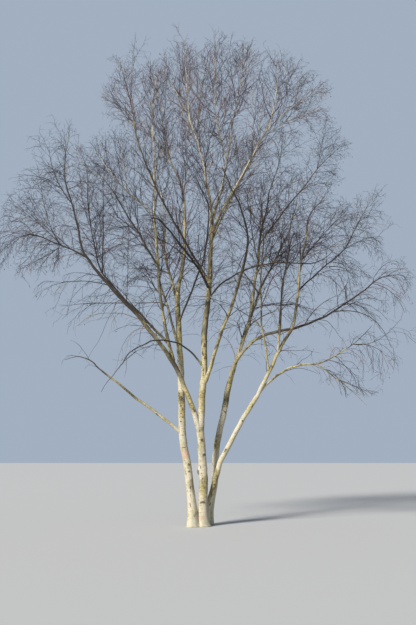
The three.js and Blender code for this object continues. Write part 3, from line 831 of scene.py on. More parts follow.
@dataclass
class BarkTube:
    """The bark in relief round a run of limbs, from the first one's foot to the last one's tip."""

    names: list[str]
    skeleton: Skeleton
    seed: int
    sides: int = 12
    thinnest: float = 0.003
    stem_fullness: Curve = Curve((2.5, 5.5), (1.07, 1.18))
    limb_fullness: Curve = Curve((0.03, 0.06), (1.18, 1))
    flare: float = 0.036
    flare_radius: float = 0.098
    flare_height: float = 0.17
    toe_narrow: int = 4
    ridge: float = 0.22
    ridges: int = 3
    fine_ridge: float = 0.12
    fine_ridges: int = 7
    fine_turn: float = 2.0
    upright_to: float = 0.6
    crook: float = 0.0035
    crook_lengths: tuple = (0.42, 0.9, 1.7)
    crook_from: float = 0.8
    lumps: float = 0.030
    lump_stretch: tuple = (9, 9, 5)
    grain: float = 0.014
    grain_stretch: tuple = (40, 40, 16)
    collar: float = 0.42
    collar_loss: float = 0.55
    collar_radius: float = 0.06
    collar_length: float = 3.0
    buried_width: float = 0.6
    tone_blend: float = 0.6
    tone_from: float = 0.2
    tone_to: float = 0.8
    blend_share: float = 0.3
    least_blend: float = 0.01
    band_seed: int = 5
    band_ragged: float = 0.05
    band_stretch: tuple = (14, 14, 6)
    band_slant: float = 0.35
    band_fade_low: float = 0.14
    band_fade_high: float = 0.04
    shortest_ring: float = 0.030
    longest_ring: float = 0.085
    ring_share: float = 0.62
    thin_radius: float = 0.02
    stem_rings_to: float = 3.0
    stem_ring: float = 0.75
    fork_rise: float = 1.6
    fork_tall: float = 0.6
    fork_width: float = 1.1
    fork_margin: float = 0.018
    fork_shadow: float = 1.5
    girth_radius: float = 0.09
    place_shifts: tuple = ((7, 1.3), (5, 2.1), (11, 0.9))
    # By height: the dip inside the crown is partly olive bark and partly painted shade, and the
    # paler top is partly painted sunlight
    paleness: Curve = Curve((1.5, 3.2, 5.0, 7.6, 9.4), (0.06, -0.16, -0.40, -0.32, 0.32))
    grime: Curve = Curve((1.5, 3.2, 5.0, 7.6, 9.4), (0, 0.04, 0.24, 0.20, 0))
    thin_dark: Curve = Curve((0.009, 0.026), (0.42, 0))
    thin_share: Curve = Curve((3.8, 4.8, 7.6, 9.6), (0.2, 1, 1, 0))

    @property
    def is_stem(self) -> bool:
        """Whether the run starts from the ground."""
        return self.names[0] in STEM_TOES

    def whole_line(self) -> Line:
        """Joins the lines of the run, leaving out the ends that meet.

        Returns:
            The joined line.
        """
        points, radii = [], []
        for i, name in enumerate(self.names):
            line = self.skeleton.lines[name]
            start = 1 if i else 0
            stop = -1 if i < len(self.names) - 1 else len(line.points)
            points.append(line.points[start:stop])
            radii.append(line.radii[start:stop])
        return Line(np.vstack(points), np.concatenate(radii))

    def tones(self, along: Array) -> Array:
        """Runs the tones of the limbs into each other.

        Args:
            along: Distances along the run.

        Returns:
            The paleness, warmth and grime at each distance.
        """
        places, values = [], []
        start = 0.0
        for name in self.names:
            length = self.skeleton.lines[name].along[-1]
            own = start + self.tone_from * length
            if name in self.skeleton.carriers:
                out = self.skeleton.buried[name]
                own = out + min(self.tone_blend, self.blend_share * length)
                places.append(out)
                values.append(self.skeleton.tones[self.skeleton.carriers[name]])
            until = max(start + self.tone_to * length, own + self.least_blend)
            places += [own, until]
            values += [self.skeleton.tones[name]] * 2
            start += length
        parts = zip(*values, strict=True)
        return np.column_stack([np.interp(along, places, part) for part in parts])

    def banded(self, tone: Array, place: Array) -> Array:
        """Changes the tone within the stem's bands, whose edges are ragged and slant a little.

        Args:
            tone: The tone at each ring and side.
            place: The bark's place there.

        Returns:
            The changed tone.
        """
        noise = soft_noise(place.reshape(-1, 3) * self.band_stretch, self.band_seed)
        ragged = self.band_ragged * noise.reshape(place.shape[:2])
        height = place[..., 2] + ragged - self.band_slant * place[..., 0]
        for band in BANDS.get(self.names[0], ()):
            above = (height - band.low) / self.band_fade_low + 0.5
            below = (band.high - height) / self.band_fade_high + 0.5
            within = np.clip(np.minimum(above, below), 0, 1)
            tone = tone + within[..., None] * [band.pale, band.warm, band.grime]
        return tone

    def weathering(self, heights: Array, radii: Array) -> Array:
        """Returns how the tone of rings changes: darker inside the crown (olive bark and painted
        shade), paler at the top (cream bark and painted sunlight) and darker on thin limbs.
        """
        pale = self.paleness.at(heights) - self.thin_dark.at(radii) * self.thin_share.at(heights)
        return np.stack([pale, np.zeros_like(pale), self.grime.at(heights)], 1)

    def foot_width(self, along: Array, radius: float) -> Array:
        """Gives the share of its plain radius that a side limb's bark has near its foot.

        Args:
            along: Distances from the foot.
            radius: The limb's radius at its foot.

        Returns:
            A share at each distance: narrow inside the carrier, then a collar that dies away.
        """
        out = self.skeleton.buried[self.names[0]]
        narrow = np.interp(along, [0, out], [self.buried_width, 1])
        collar = self.collar * (1 - self.collar_loss * min(radius / self.collar_radius, 1))
        away = np.exp(-np.maximum(along - out, 0) / (self.collar_length * radius))
        return narrow + collar * np.clip(along / out, 0, 1) * away

    def ring_places(self, line: Line) -> Array:
        """Places the rings, closer where the limb is thin or at the ground.

        Args:
            line: The line of the run.

        Returns:
            The distance of each ring from the foot.
        """
        length = line.along[-1]
        places = [0.0]
        while places[-1] < length:
            radius = np.interp(places[-1], line.along, line.radii)
            step = min(max(self.ring_share * radius, self.shortest_ring), self.longest_ring)
            if radius < self.thin_radius:
                step = self.longest_ring
            if self.is_stem and places[-1] < self.stem_rings_to:
                step = self.shortest_ring * self.stem_ring
            places.append(places[-1] + step)
        places[-1] = length
        return np.array(places)

    def ring_axes(self, middles: Array, along: Array) -> tuple[Array, Array]:
        """Carries the rings' two level axes along the run without a twist.

        Args:
            middles: The middle of each ring.
            along: The distance of each ring from the foot.

        Returns:
            The unit vectors to each ring's right and ahead.
        """
        slopes = unit(np.gradient(middles, along, axis=0))
        if self.is_stem:
            share = np.clip(along / self.upright_to, 0, 1)[:, None]
            slopes = unit(UP * (1 - share) + slopes * share)
        rights = [unit(np.array([1.0, 0.0, 0.0]) - slopes[0] * slopes[0, 0])]
        for slope in slopes[1:]:
            rights.append(unit(rights[-1] - slope * (rights[-1] @ slope)))
        rights = np.array(rights)
        return rights, np.cross(slopes, rights)

    def crooked(self, middles: Array, along: Array, axes: tuple) -> Array:
        """Bends the run by small waves and by its stem's own crooks.

        Args:
            middles: The middle of each ring.
            along: The distance of each ring from the foot.
            axes: The rings' two level axes.

        Returns:
            The moved middles.
        """
        rng = np.random.default_rng(self.seed)
        for way, length in product(axes, self.crook_lengths):
            wave = np.sin(2 * math.pi * (along / length + rng.random()))
            size = self.crook * length**0.5 * np.clip(along / self.crook_from, 0, 1)
            middles = middles + way * (wave * size)[:, None]
        if self.is_stem:
            heights, asides = np.array(STEM_CROOKS[self.names[0]]).T
            middles[:, 0] += soft_steps(middles[:, 2], heights, asides)
        return middles

    def shape(self) -> Shape:
        """Builds the tube, with its bark's place, marks and tone at each vertex.

        Returns:
            The tube.
        """
        line = self.whole_line()
        along = self.ring_places(line)
        middles, radii = line.at(along)
        radii = np.maximum(radii, self.thinnest)
        fuller = self.stem_fullness.at(along) if self.is_stem else self.limb_fullness.at(radii)
        radii = radii * fuller
        axes = self.ring_axes(middles, along)
        middles = self.crooked(middles, along, axes)
        ways = spoke_ways(*axes, self.sides)
        rings = ways.shape[:2]
        turn = np.arange(self.sides) * 2 * math.pi / self.sides
        level = [radii[:, None] * np.cos(turn), radii[:, None] * np.sin(turn)]
        place = np.stack([*level, np.broadcast_to(along[:, None], rings)], 2)
        flat = place.reshape(-1, 3)
        relief = self.lumps * soft_noise(flat * self.lump_stretch, self.seed)
        relief = relief + self.grain * soft_noise(flat * self.grain_stretch, self.seed + 1)
        reach = radii[:, None] * (1 + relief.reshape(rings))
        if self.is_stem:
            reach = reach + self.root_flare(middles, ways, radii[0])
        else:
            reach = reach * self.foot_width(along, radii[0])[:, None]
        reach, scars = self.add_scars(reach, middles, ways, radii)
        vertices = middles[:, None] + ways * reach[:, :, None]
        vertices[..., 2] = np.maximum(vertices[..., 2], 0)
        girth = np.broadcast_to(np.clip(radii / self.girth_radius, 0, 1)[:, None], rings)
        marks = np.stack([self.fork_shade(vertices), scars, girth], 2)
        tone = np.broadcast_to(self.tones(along)[:, None], (*rings, 3))
        tone = self.banded(tone, place) + self.weathering(middles[:, 2], radii)[:, None]
        shift = np.array([self.seed % every * step for every, step in self.place_shifts])
        return self.closed(vertices, {"place": place + shift, "marks": marks, "tone": tone})

    def closed(self, vertices: Array, looks: dict[str, Array]) -> Shape:
        """Joins the rings by triangles and closes both ends.

        Args:
            vertices: The vertex at each ring and side.
            looks: The values there, by name.

        Returns:
            The closed tube.
        """
        rows = len(vertices)
        starts = np.arange(rows) * self.sides
        sheets = ring_sheets(starts[:-1], starts[1:], self.sides)
        k = np.arange(self.sides)
        after = (k + 1) % self.sides
        last = starts[-1]
        foot, tip = rows * self.sides, rows * self.sides + 1
        caps = [
            np.stack([np.full(self.sides, foot), after, k], 1),
            np.stack([np.full(self.sides, tip), last + k, last + after], 1),
        ]
        triangles = np.vstack([*(sheet.reshape(-1, 3) for sheet in sheets), *caps])

        def with_ends(values: Array) -> Array:
            """Adds the mean of the first and of the last ring."""
            return np.vstack([values.reshape(-1, 3), values[0].mean(0), values[-1].mean(0)])

        values = {"bark_" + key: with_ends(part) for key, part in looks.items()}
        return Shape(with_ends(vertices), triangles, values)

    def root_flare(self, middles: Array, ways: Array, radius: float) -> Array:
        """Spreads the stem near the ground, with toes to the stems beside it.

        Args:
            middles: The middle of each ring.
            ways: The direction of each side.
            radius: The stem's radius at the ground.

        Returns:
            How much further each side reaches.
        """
        angle = np.arctan2(ways[..., 1], ways[..., 0])
        toes = np.zeros_like(angle)
        for bearing, toe in STEM_TOES[self.names[0]]:
            facing = np.maximum(np.cos(angle - math.radians(bearing)), 0)
            toes = np.maximum(toes, toe * facing**self.toe_narrow)
        fine = self.fine_ridge * np.sin(self.fine_ridges * angle + self.fine_turn)
        ridges = 1 + self.ridge * np.sin(self.ridges * angle + self.seed) + fine
        spread = self.flare * radius / self.flare_radius * ridges + toes
        return spread * np.exp(-middles[:, 2] / self.flare_height)[:, None]

    def add_scars(
        self, reach: Array, middles: Array, ways: Array, radii: Array
    ) -> tuple[Array, Array]:
        """Raises the stem's scars on its radius.

        Args:
            reach: The radius at each ring and side.
            middles: The middle of each ring.
            ways: The direction of each side.
            radii: The plain radius of each ring.

        Returns:
            The changed radius and how far each vertex lies in a scar, from 0 to 1.
        """
        shade = np.zeros_like(reach)
        angle = np.arctan2(ways[..., 1], ways[..., 0])
        for scar in SCARS.get(self.names[0], ()):
            aside = angle - math.radians(scar.bearing)
            aside = (aside + math.pi) % (2 * math.pi) - math.pi
            across = aside * radii[:, None] / scar.wide
            up = (middles[:, 2][:, None] - scar.height) / scar.tall + scar.brow * across**2
            near = np.exp(-(across**2) - up**2)
            reach = reach + scar.swell * near
            shade = np.maximum(shade, near * scar.shade)
        return reach, shade

    def fork_shade(self, vertices: Array) -> Array:
        """Works out how close each vertex lies to a fork, for the dark crotch mark: partly birch's
        black bark at forks and partly painted shade in the crotch.

        Args:
            vertices: The vertex at each ring and side.

        Returns:
            A value from 0 to 1 for each.
        """
        shade = np.zeros(vertices.shape[:2])
        for name in self.names:
            for foot, radius in self.skeleton.forks.get(name, []):
                gap = vertices - foot - UP * self.fork_rise * radius
                gap[..., 2] *= self.fork_tall
                wide = self.fork_width * radius + self.fork_margin
                near = self.fork_shadow - np.linalg.norm(gap, axis=2) / wide
                shade = np.maximum(shade, np.clip(near, 0, 1))
        return shade


MASSES = tuple(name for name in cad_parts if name.startswith("twigs_"))


@dataclass
class CrownField:
    """How deep in the masses of twigs a place lies, on a grid of small cells."""

    cell: float = 0.1
    spare: float = 0.6
    off_edge: float = 1e-5
    blur: int = 2
    cover_blur: int = 4
    crowd_cells: int = 2
    heart: tuple = (0.0, 0.3, 8.2)
    reach: tuple = (5.4, 4.2, 5.4)
    fullness: Curve = Curve((5.0, 7.9), (0.28, 0.9))
    depth_share: float = 1.3
    rim: Curve = Curve((0.72, 1.0), (1, 0.55))
    front: Curve = Curve((-1.2, -0.4), (0.82, 1))
    right: Curve = Curve((3.3, 4.6), (1, 0.68))
    hem_from: float = 1.8
    hem_top: float = 6.2
    hem_fade: float = 1.5
    hem_loss: float = 0.56
    welcome: float = 1.5
    least_slope: float = 0.01

    def __post_init__(self) -> None:
        """Fills the grid from the masses' solids."""
        self.low = np.array(cad_box[0]) - self.spare
        self.high = np.array(cad_box[1]) + self.spare
        shape = np.ceil((self.high - self.low) / self.cell).astype(int)
        solid = np.zeros(shape, np.float32)
        boxes = []
        for name in MASSES:
            corners = node_corners(name)
            boxes.append((corners.min((0, 1)), corners.max((0, 1))))
            self.fill(solid, corners)
        self.middles = np.array([(low + high) / 2 for low, high in boxes])
        self.halves = np.array([(high - low) / 2 for low, high in boxes])
        self.depth = self.blurred(self.blurred(solid, self.blur), self.blur)
        self.cover = self.blurred(self.blurred(solid, self.cover_blur), self.cover_blur)
        self.slope = np.stack(np.gradient(self.cover), -1)

    def blurred(self, grid: Array, reach: int) -> Array:
        """Blurs a grid.

        Args:
            grid: Its cells.
            reach: How many cells to each side count.

        Returns:
            The mean of each cell and those around it.
        """
        for axis in range(3):
            grid = sum(np.roll(grid, step, axis) for step in range(-reach, reach + 1))
        return grid / (2 * reach + 1) ** 3

    def fill(self, solid: Array, corners: Array) -> None:
        """Marks the cells inside a closed solid: those with an odd number of faces above them.

        Args:
            solid: The grid to mark.
            corners: The solid's triangles, (n, 3, 3).
        """
        first = np.floor((corners.min((0, 1)) - self.low) / self.cell).astype(int)
        last = np.ceil((corners.max((0, 1)) - self.low) / self.cell).astype(int)
        xs, ys, zs = [
            self.low[k] + self.cell * (np.arange(first[k], last[k]) + 0.5) + self.off_edge
            for k in range(3)
        ]
        x, y = [values.ravel()[:, None] for values in np.meshgrid(xs, ys, indexing="ij")]
        a, b, c = corners[:, 0], corners[:, 1], corners[:, 2]
        ab, ac = b - a, c - a
        span = ab[:, 0] * ac[:, 1] - ac[:, 0] * ab[:, 1]
        span = np.where(np.abs(span) < SMALLEST_SPAN, SMALLEST_SPAN, span)
        u = ((x - a[:, 0]) * ac[:, 1] - ac[:, 0] * (y - a[:, 1])) / span
        v = (ab[:, 0] * (y - a[:, 1]) - (x - a[:, 0]) * ab[:, 1]) / span
        height = a[:, 2] + u * ab[:, 2] + v * ac[:, 2]
        height = np.where((u >= 0) & (v >= 0) & (u + v <= 1), height, -np.inf)
        above = (height[:, None, :] > zs[None, :, None]).sum(2)
        inside = (above % 2).reshape(len(xs), len(ys), len(zs))
        cells = tuple(slice(first[k], last[k]) for k in range(3))
        solid[cells] = np.maximum(solid[cells], inside)

    def cells(self, points: Array) -> tuple:
        """Returns the indices of the cells that hold the points."""
        found = np.floor((points - self.low) / self.cell).astype(int)
        return tuple(np.moveaxis(np.clip(found, 0, np.array(self.depth.shape) - 1), -1, 0))

    def crowd_index(self, points: Array) -> tuple:
        """Returns the indices of the wider cells that hold the points."""
        return tuple(index // self.crowd_cells for index in self.cells(points))

    def depth_at(self, points: Array) -> Array:
        """Returns how deep in the crown the points lie, from 0 to 1."""
        return self.depth[self.cells(points)]

    def cover_at(self, points: Array) -> Array:
        """Returns how well the masses cover the points, from 0 to 1, gaps between them included."""
        return self.cover[self.cells(points)]

    def inward_at(self, points: Array) -> Array:
        """Returns the way into the crown at the points, with no length where there is none."""
        slope = self.slope[self.cells(points)]
        return slope / np.maximum(np.linalg.norm(slope, axis=-1, keepdims=True), self.least_slope)

    def owner_of(self, points: Array) -> Array:
        """Returns the index of the mass that each point lies in or nearest to."""
        gaps = (points[:, None] - self.middles) / self.halves
        return (gaps**2).sum(2).argmin(1)

    def crowding(self, strands: "Strands") -> Array:
        """Works out how much twig there is in each place: square metres in each cubic metre.

        Args:
            strands: The growth that counts.

        Returns:
            A grid of cells that are crowd_cells times as wide as the crown's own.
        """
        shape = np.array(self.depth.shape) // self.crowd_cells + 1
        steps = np.linalg.norm(np.diff(strands.points, axis=1), axis=2)
        steps *= np.arange(steps.shape[1]) < strands.counts[:, None]
        area = steps * (strands.foot + strands.tip)[:, None]
        cells = self.crowd_index((strands.points[:, 1:] + strands.points[:, :-1]) / 2)
        flat = np.ravel_multi_index(cells, shape).ravel()
        grid = np.bincount(flat, area.ravel(), shape.prod()).reshape(shape)
        return self.blurred(grid, 1) / (self.cell * self.crowd_cells) ** 3

    def room_for(self, strands: "Strands", others: "Strands", rule: "Rule") -> Array:
        """Works out how likely strands are to find room, in space and seen from the front.

        Args:
            strands: The new strands.
            others: Those that stand already.
            rule: The rule of both.

        Returns:
            A chance for each strand, which may lie below 0 or above 1.
        """
        grid = self.crowding(others)
        seen = grid.sum(1, keepdims=True) * self.cell * self.crowd_cells
        seen = np.broadcast_to(seen, grid.shape)
        middles = strands.middles()
        x, y, z = middles.T
        share = self.fullness.at(z) + self.depth_share * self.depth_at(middles)
        out = np.linalg.norm((middles - self.heart) / self.reach, axis=1)
        share = np.clip(share, 0, 1) * self.rim.at(out) * self.front.at(y) * self.right.at(x)
        hem = np.clip(np.abs(x) - self.hem_from, 0, 1)
        hem = hem * np.clip((self.hem_top - z) / self.hem_fade, 0, 1)
        share = share * (1 - self.hem_loss * hem)
        filled = 0.0
        for points in (middles, strands.ends()):
            cells = self.crowd_index(points)
            filled = filled + np.maximum(grid[cells] / rule.crowd, seen[cells] / rule.seen) / 2
        return self.welcome - filled / share


class Rows:
    """Arrays that hold one row for each thing."""

    def pick(self, chosen: Array) -> Self:
        """Returns only the chosen rows."""
        return type(self)(*(values[chosen] for values in vars(self).values()))

    @classmethod
    def joined(cls, groups: list[Self]) -> Self:
        """Returns the rows of all the groups in turn."""
        parts = zip(*(vars(group).values() for group in groups), strict=True)
        return cls(*(np.concatenate(part) for part in parts))


@dataclass
class Sites(Rows):
    """Places on limbs from which finer growth leaves."""

    points: Array
    ways: Array
    radii: Array
    left: Array
    spin: Array
    spray: Array


@dataclass
class Strands(Rows):
    """Fine growth: the points of each strand, the steps it uses, its radii and its spray."""

    points: Array
    counts: Array
    foot: Array
    tip: Array
    spray: Array

    @classmethod
    def from_lines(cls, lines: list[Line], steps: int = 24) -> "Strands":
        """Lays strands along whole limbs, for finer growth to leave from.

        Args:
            lines: The limbs' lines.
            steps: The number of steps in each strand.

        Returns:
            The strands, each with a spray of its own.
        """
        return cls(
            np.array([line.spread(steps + 1)[0] for line in lines]),
            np.full(len(lines), steps),
            np.array([line.radii[1] for line in lines]),
            np.array([line.radii[-1] for line in lines]),
            np.arange(len(lines)),
        )

    def ends(self, back: int = 0) -> Array:
        """Returns the last point of each strand, or one that lies some points before it."""
        return self.points[np.arange(len(self.counts)), self.counts - back]

    def middles(self) -> Array:
        """Returns the middle point of each strand."""
        return self.points[np.arange(len(self.counts)), (self.counts + 1) // 2]

    def line(self, k: int) -> Line:
        """Returns one strand as a limb's line."""
        radii = np.linspace(self.foot[k], self.tip[k], self.counts[k] + 1)
        return Line(self.points[k, : self.counts[k] + 1], radii)

    def sites(self, rule: "Rule", wider: float, rng: np.random.Generator) -> Sites:
        """Spreads sites along the strands.

        Args:
            rule: The rule of what grows there.
            wider: How much further apart they lie than the rule says.
            rng: The run of random numbers.

        Returns:
            The sites, each turned by the golden angle from the one before.
        """
        used = np.arange(self.points.shape[1] - 1) < self.counts[:, None]
        lengths = (np.linalg.norm(np.diff(self.points, axis=1), axis=2) * used).sum(1)
        part, spacing = rule.stop - rule.start, rule.spacing * wider
        number = np.floor(lengths * part / spacing + rng.random(len(lengths))).astype(int)
        owner = np.repeat(np.arange(len(lengths)), number)
        order = np.arange(len(owner)) - np.repeat(np.cumsum(number) - number, number)
        share = rule.start + part * (order + rng.random(len(owner))) / number[owner]
        place = share * self.counts[owner]
        k = np.minimum(np.floor(place).astype(int), self.counts[owner] - 1)
        t = (place - k)[:, None]
        first, second = self.points[owner, k], self.points[owner, k + 1]
        return Sites(
            first * (1 - t) + second * t,
            unit(second - first),
            self.foot[owner] + (self.tip - self.foot)[owner] * share,
            lengths[owner] * (1 - share),
            rng.random(len(lengths))[owner] * 2 * math.pi + order * GOLDEN_ANGLE,
            self.spray[owner],
        )

    def shape(self, sides: int, looks: Array) -> Shape:
        """Builds a thin tapering prism round each strand, closed to a point at its tip.

        Args:
            sides: The number of sides.
            looks: The index of each strand's material.

        Returns:
            The prisms as one shape.
        """
        count, rings = self.points.shape[:2]
        rows = np.arange(rings)
        ways = unit(np.gradient(self.points, axis=1))
        chord = unit(self.ends() - self.points[:, 0])
        aside = np.eye(3)[np.abs(chord).argmin(1)]
        aside = unit(aside - chord * (aside * chord).sum(1, keepdims=True))[:, None]
        aside = unit(aside - ways * (aside * ways).sum(2, keepdims=True))
        share = np.clip(rows / self.counts[:, None], 0, 1)
        radii = self.foot[:, None] + (self.tip - self.foot)[:, None] * share
        spokes = spoke_ways(aside, np.cross(ways, aside), sides)
        corners = self.points[:, :, None] + spokes * radii[:, :, None, None]
        in_ring = rows < self.counts[:, None]
        first = np.full((count, rings), -1)
        first[in_ring] = np.arange(in_ring.sum()) * sides
        tips = in_ring.sum() * sides + np.arange(count)
        strand, row = np.nonzero(in_ring[:, 1:])
        sheets = ring_sheets(first[strand, row], first[strand, row + 1], sides)
        last = first[np.arange(count), self.counts - 1]
        peaks, _ = ring_sheets(last, last, sides)
        peaks[..., 2] = tips[:, None]
        return Shape(
            np.vstack([corners[in_ring].reshape(-1, 3), self.ends()]),
            np.vstack([np.concatenate(sheets, 1).reshape(-1, 3), peaks.reshape(-1, 3)]),
            {},
            np.concatenate([np.repeat(looks[strand], 2 * sides), np.repeat(looks, sides)]),
        )


@dataclass(frozen=True)
class Rule:
    """How one order of growth leaves its carriers and how it bends, in metres and degrees."""

    spacing: float
    shortest: float
    longest: float
    share_of_left: float
    steps: int
    angle: tuple[float, float]
    lift: float
    droop: float
    wander: float
    thickness: float
    thickest: float
    tip: float
    start: float = 0.1
    stop: float = 0.98
    inner_keep: float = 0.8
    crowd: float = 0.0
    seen: float = 1.0
    rounds: int = 1
    none_below: float = 3.2
    all_above: float = 7.2


LEADS = Rule(
    spacing=1.0, shortest=1.6, longest=2.3, share_of_left=0.0, steps=14, angle=(0, 4),
    lift=0.10, droop=0.02, wander=0.09, thickness=0.95, thickest=0.02, tip=0.0035,
    inner_keep=1.0, none_below=0.0, all_above=0.1,
)
FORKS = Rule(
    spacing=0.42, shortest=0.9, longest=2.2, share_of_left=0.45, steps=13, angle=(28, 44),
    lift=0.13, droop=0.02, wander=0.10, thickness=0.62, thickest=0.014, tip=0.003,
    start=0.30, stop=0.95, inner_keep=0.4, all_above=5.0,
)
SIDE_BOUGHS = Rule(
    spacing=0.10, shortest=0.5, longest=2.1, share_of_left=0.62, steps=12, angle=(26, 50),
    lift=0.08, droop=0.07, wander=0.13, thickness=0.65, thickest=0.0088, tip=0.0030,
    start=0.10, stop=0.97, crowd=0.22, seen=0.25, rounds=6,
)
BRANCHES = Rule(
    spacing=0.13, shortest=0.26, longest=1.0, share_of_left=0.50, steps=7, angle=(30, 60),
    lift=0.07, droop=0.10, wander=0.19, thickness=0.7, thickest=0.0054, tip=0.0023,
    start=0.08, stop=0.98, crowd=0.26, seen=0.28, rounds=6,
)
SHOOTS = Rule(
    spacing=0.14, shortest=0.15, longest=0.5, share_of_left=0.45, steps=4, angle=(32, 66),
    lift=0.03, droop=0.12, wander=0.23, thickness=0.8, thickest=0.0034, tip=0.0019,
    start=0.08, stop=0.98, crowd=0.19, seen=0.19, rounds=5,
)
TWIGS = Rule(
    spacing=0.20, shortest=0.10, longest=0.24, share_of_left=0.6, steps=2, angle=(32, 68),
    lift=0.0, droop=0.13, wander=0.25, thickness=0.9, thickest=0.0020, tip=0.0014,
    start=0.15, stop=1.0, crowd=0.06, seen=0.06, rounds=4,
)

# Limbs whose tips are carried on by the rule, and limbs that fork by it inside the crown
FREE_TIPS = (
    "left_upright_side", "left_stem_front", "front_left_bough", "back_left_bough",
    "back_middle_bough", "outer_thin", "front_right_bough", "arc_left", "low_left",
)
FORKING = (
    "back_left_bough", "back_middle_bough", "back_right_bough", "left_stem_back",
    "leader_right_back", "front_left_bough", "front_right_bough", "outer_thin",
    "left_stem_front", "left_upright_side", "arc_right", "front_bough", "back_right_up",
    "right_back_spire", "stem_back_up", "left_second", "front_up", "middle_spire", "right_top",
    "upright_spire", "stem_spire_left", "leader_right", "right_spire_back", "outer_inner_up",
    "far_left_up", "left_upright", "leader_left", "right_upright",
)


@dataclass
class Grower:
    """Grows finer strands from sites, bent by height, by the crown's edge and by chance."""

    crown: CrownField
    seed: int = 20
    inner_depth: float = 0.25
    share_spread: tuple = (0.6, 1.2)
    length_spread: tuple = (0.65, 1.15)
    spin_spread: float = 0.35
    upright: float = 0.05
    droop_below: float = 4.6
    lift_above: float = 8.8
    arch: float = 0.10
    arch_from: float = 0.35
    arch_width: float = 0.35
    edge: float = 0.20
    turn_in: float = 0.3
    turn_in_cover: float = 0.45
    beyond: float = 0.12
    above: float = 0.05
    off_ground: float = 0.02
    thin_share: float = 0.35
    least_steps: int = 2

    def __post_init__(self) -> None:
        """Starts the run of random numbers and sets the bounds of the growth."""
        self.rng = np.random.default_rng(self.seed)
        self.low = np.array(cad_box[0]) - [self.beyond, self.beyond, -self.off_ground]
        self.high = np.array(cad_box[1]) + [self.beyond, self.beyond, self.above]

    def inside(self, points: Array, margin: float = 0.0) -> Array:
        """Returns whether each point lies within the bounds by a margin."""
        return ((points > self.low + margin) & (points < self.high - margin)).all(1)

    def grow(self, sites: Sites, rule: Rule) -> Strands:
        """Grows strands from sites in rounds, and keeps those that find room.

        Args:
            sites: Where the strands leave.
            rule: How they grow.

        Returns:
            The strands.
        """
        kept = []
        order = self.rng.permutation(len(sites.left))
        for part in np.array_split(order, rule.rounds):
            strands = self.grow_round(sites.pick(np.sort(part)), rule)
            if rule.crowd and kept:
                room = self.crown.room_for(strands, Strands.joined(kept), rule)
                strands = strands.pick(self.rng.random(len(room)) < room)
            kept.append(strands)
        return Strands.joined(kept)

    def first_ways(self, sites: Sites, rule: Rule) -> Array:
        """Turns the ways of carriers aside, to where new strands set out.

        Args:
            sites: Where the strands leave.
            rule: How they grow.

        Returns:
            The unit vector of each strand's first step.
        """
        count = len(sites.left)
        aside = np.cross(sites.ways, UP)
        aside[np.linalg.norm(aside, axis=1) < self.upright] = [1.0, 0.0, 0.0]
        aside = unit(aside)
        over = np.cross(aside, sites.ways)
        angle = np.radians(self.rng.uniform(*rule.angle, count))[:, None]
        spin = (sites.spin + self.rng.normal(0, self.spin_spread, count))[:, None]
        out = aside * np.cos(spin) + over * np.sin(spin)
        return sites.ways * np.cos(angle) + out * np.sin(angle)

    def pulls(self, place: Array, free: Array, rule: Rule) -> tuple[Array, Array]:
        """Works out how strands bend at a place: up, down or into the crown.

        Args:
            place: Where each strand has come to.
            free: Whether the crown's edge turns it in.
            rule: How the strands grow.

        Returns:
            What is added to the way of each: the rise, and the turn inwards.
        """
        heights = [self.droop_below, self.lift_above]
        rise = np.interp(place[:, 2], heights, [-rule.droop, rule.lift])
        aside = np.hypot(*(place[:, :2] / self.crown.reach[:2]).T)
        rise = rise - self.arch * np.clip((aside - self.arch_from) / self.arch_width, 0, 1)
        thin = self.turn_in_cover - self.crown.cover_at(place)
        turn_in = np.clip(thin, 0, self.turn_in_cover)[:, None] * self.turn_in * free[:, None]
        return UP * rise[:, None], self.crown.inward_at(place) * turn_in

    def grow_round(self, sites: Sites, rule: Rule) -> Strands:
        """Grows one strand from each site.

        Args:
            sites: Where the strands leave.
            rule: How they grow.

        Returns:
            The strands that reach at least two steps.
        """
        rng = self.rng
        inner = self.crown.depth_at(sites.points) < self.inner_depth
        heights = [rule.none_below, rule.all_above]
        chance = rule.inner_keep * np.interp(sites.points[:, 2], heights, [0, 1])
        kept = rng.random(len(inner)) < np.where(inner, chance, 1)
        sites, inner = sites.pick(kept), inner[kept]
        count = len(sites.left)
        length = rule.share_of_left * sites.left * rng.uniform(*self.share_spread, count)
        length = np.minimum(rule.shortest + length, rule.longest)
        length = length * rng.uniform(*self.length_spread, count)
        way = self.first_ways(sites, rule)
        place = sites.points.copy()
        points = [place]
        alive = np.ones(count, bool)
        used = np.zeros(count, int)
        step = (length / rule.steps)[:, None]
        for number in range(rule.steps):
            rise, turn_in = self.pulls(place, ~inner, rule)
            way = unit(way + rise + turn_in + rng.normal(0, rule.wander, (count, 3)))
            place = place + way * step
            points.append(place)
            outside = self.crown.cover_at(place) < self.edge
            alive &= ~outside | inner | (number == 0)
            alive &= self.inside(place)
            used += alive
        foot = np.minimum(sites.radii * rule.thickness, rule.thickest)
        slim = np.clip(length / rule.longest + self.thin_share, 0, 1)
        foot = np.maximum(foot * slim, rule.tip)
        tip = np.full(count, rule.tip)
        strands = Strands(np.stack(points, 1), used, foot, tip, sites.spray)
        return strands.pick(used >= min(self.least_steps, rule.steps))

    def extend(self, skeleton: Skeleton) -> None:
        """Carries free limbs on to their tips, and forks limbs that the front view doesn't show.

        Args:
            skeleton: The skeleton, which takes the new lines.
        """
        none = np.zeros(1)
        for name in FREE_TIPS:
            line = skeleton.lines[name]
            way = unit(line.points[-1] - line.points[-3])
            site = Sites(line.points[-1:], way[None], line.radii[-1:], none, none, none)
            strand = self.grow(site, LEADS)
            if len(strand.counts):
                skeleton.add(name + "_tip", name, True, strand.line(0))
        for name in FORKING:
            limb = Strands.from_lines([skeleton.lines[name]])
            strands = self.grow(limb.sites(FORKS, 1, self.rng), FORKS)
            for k in range(len(strands.counts)):
                skeleton.add(f"{name}_fork_{k + 1}", name, False, strands.line(k))


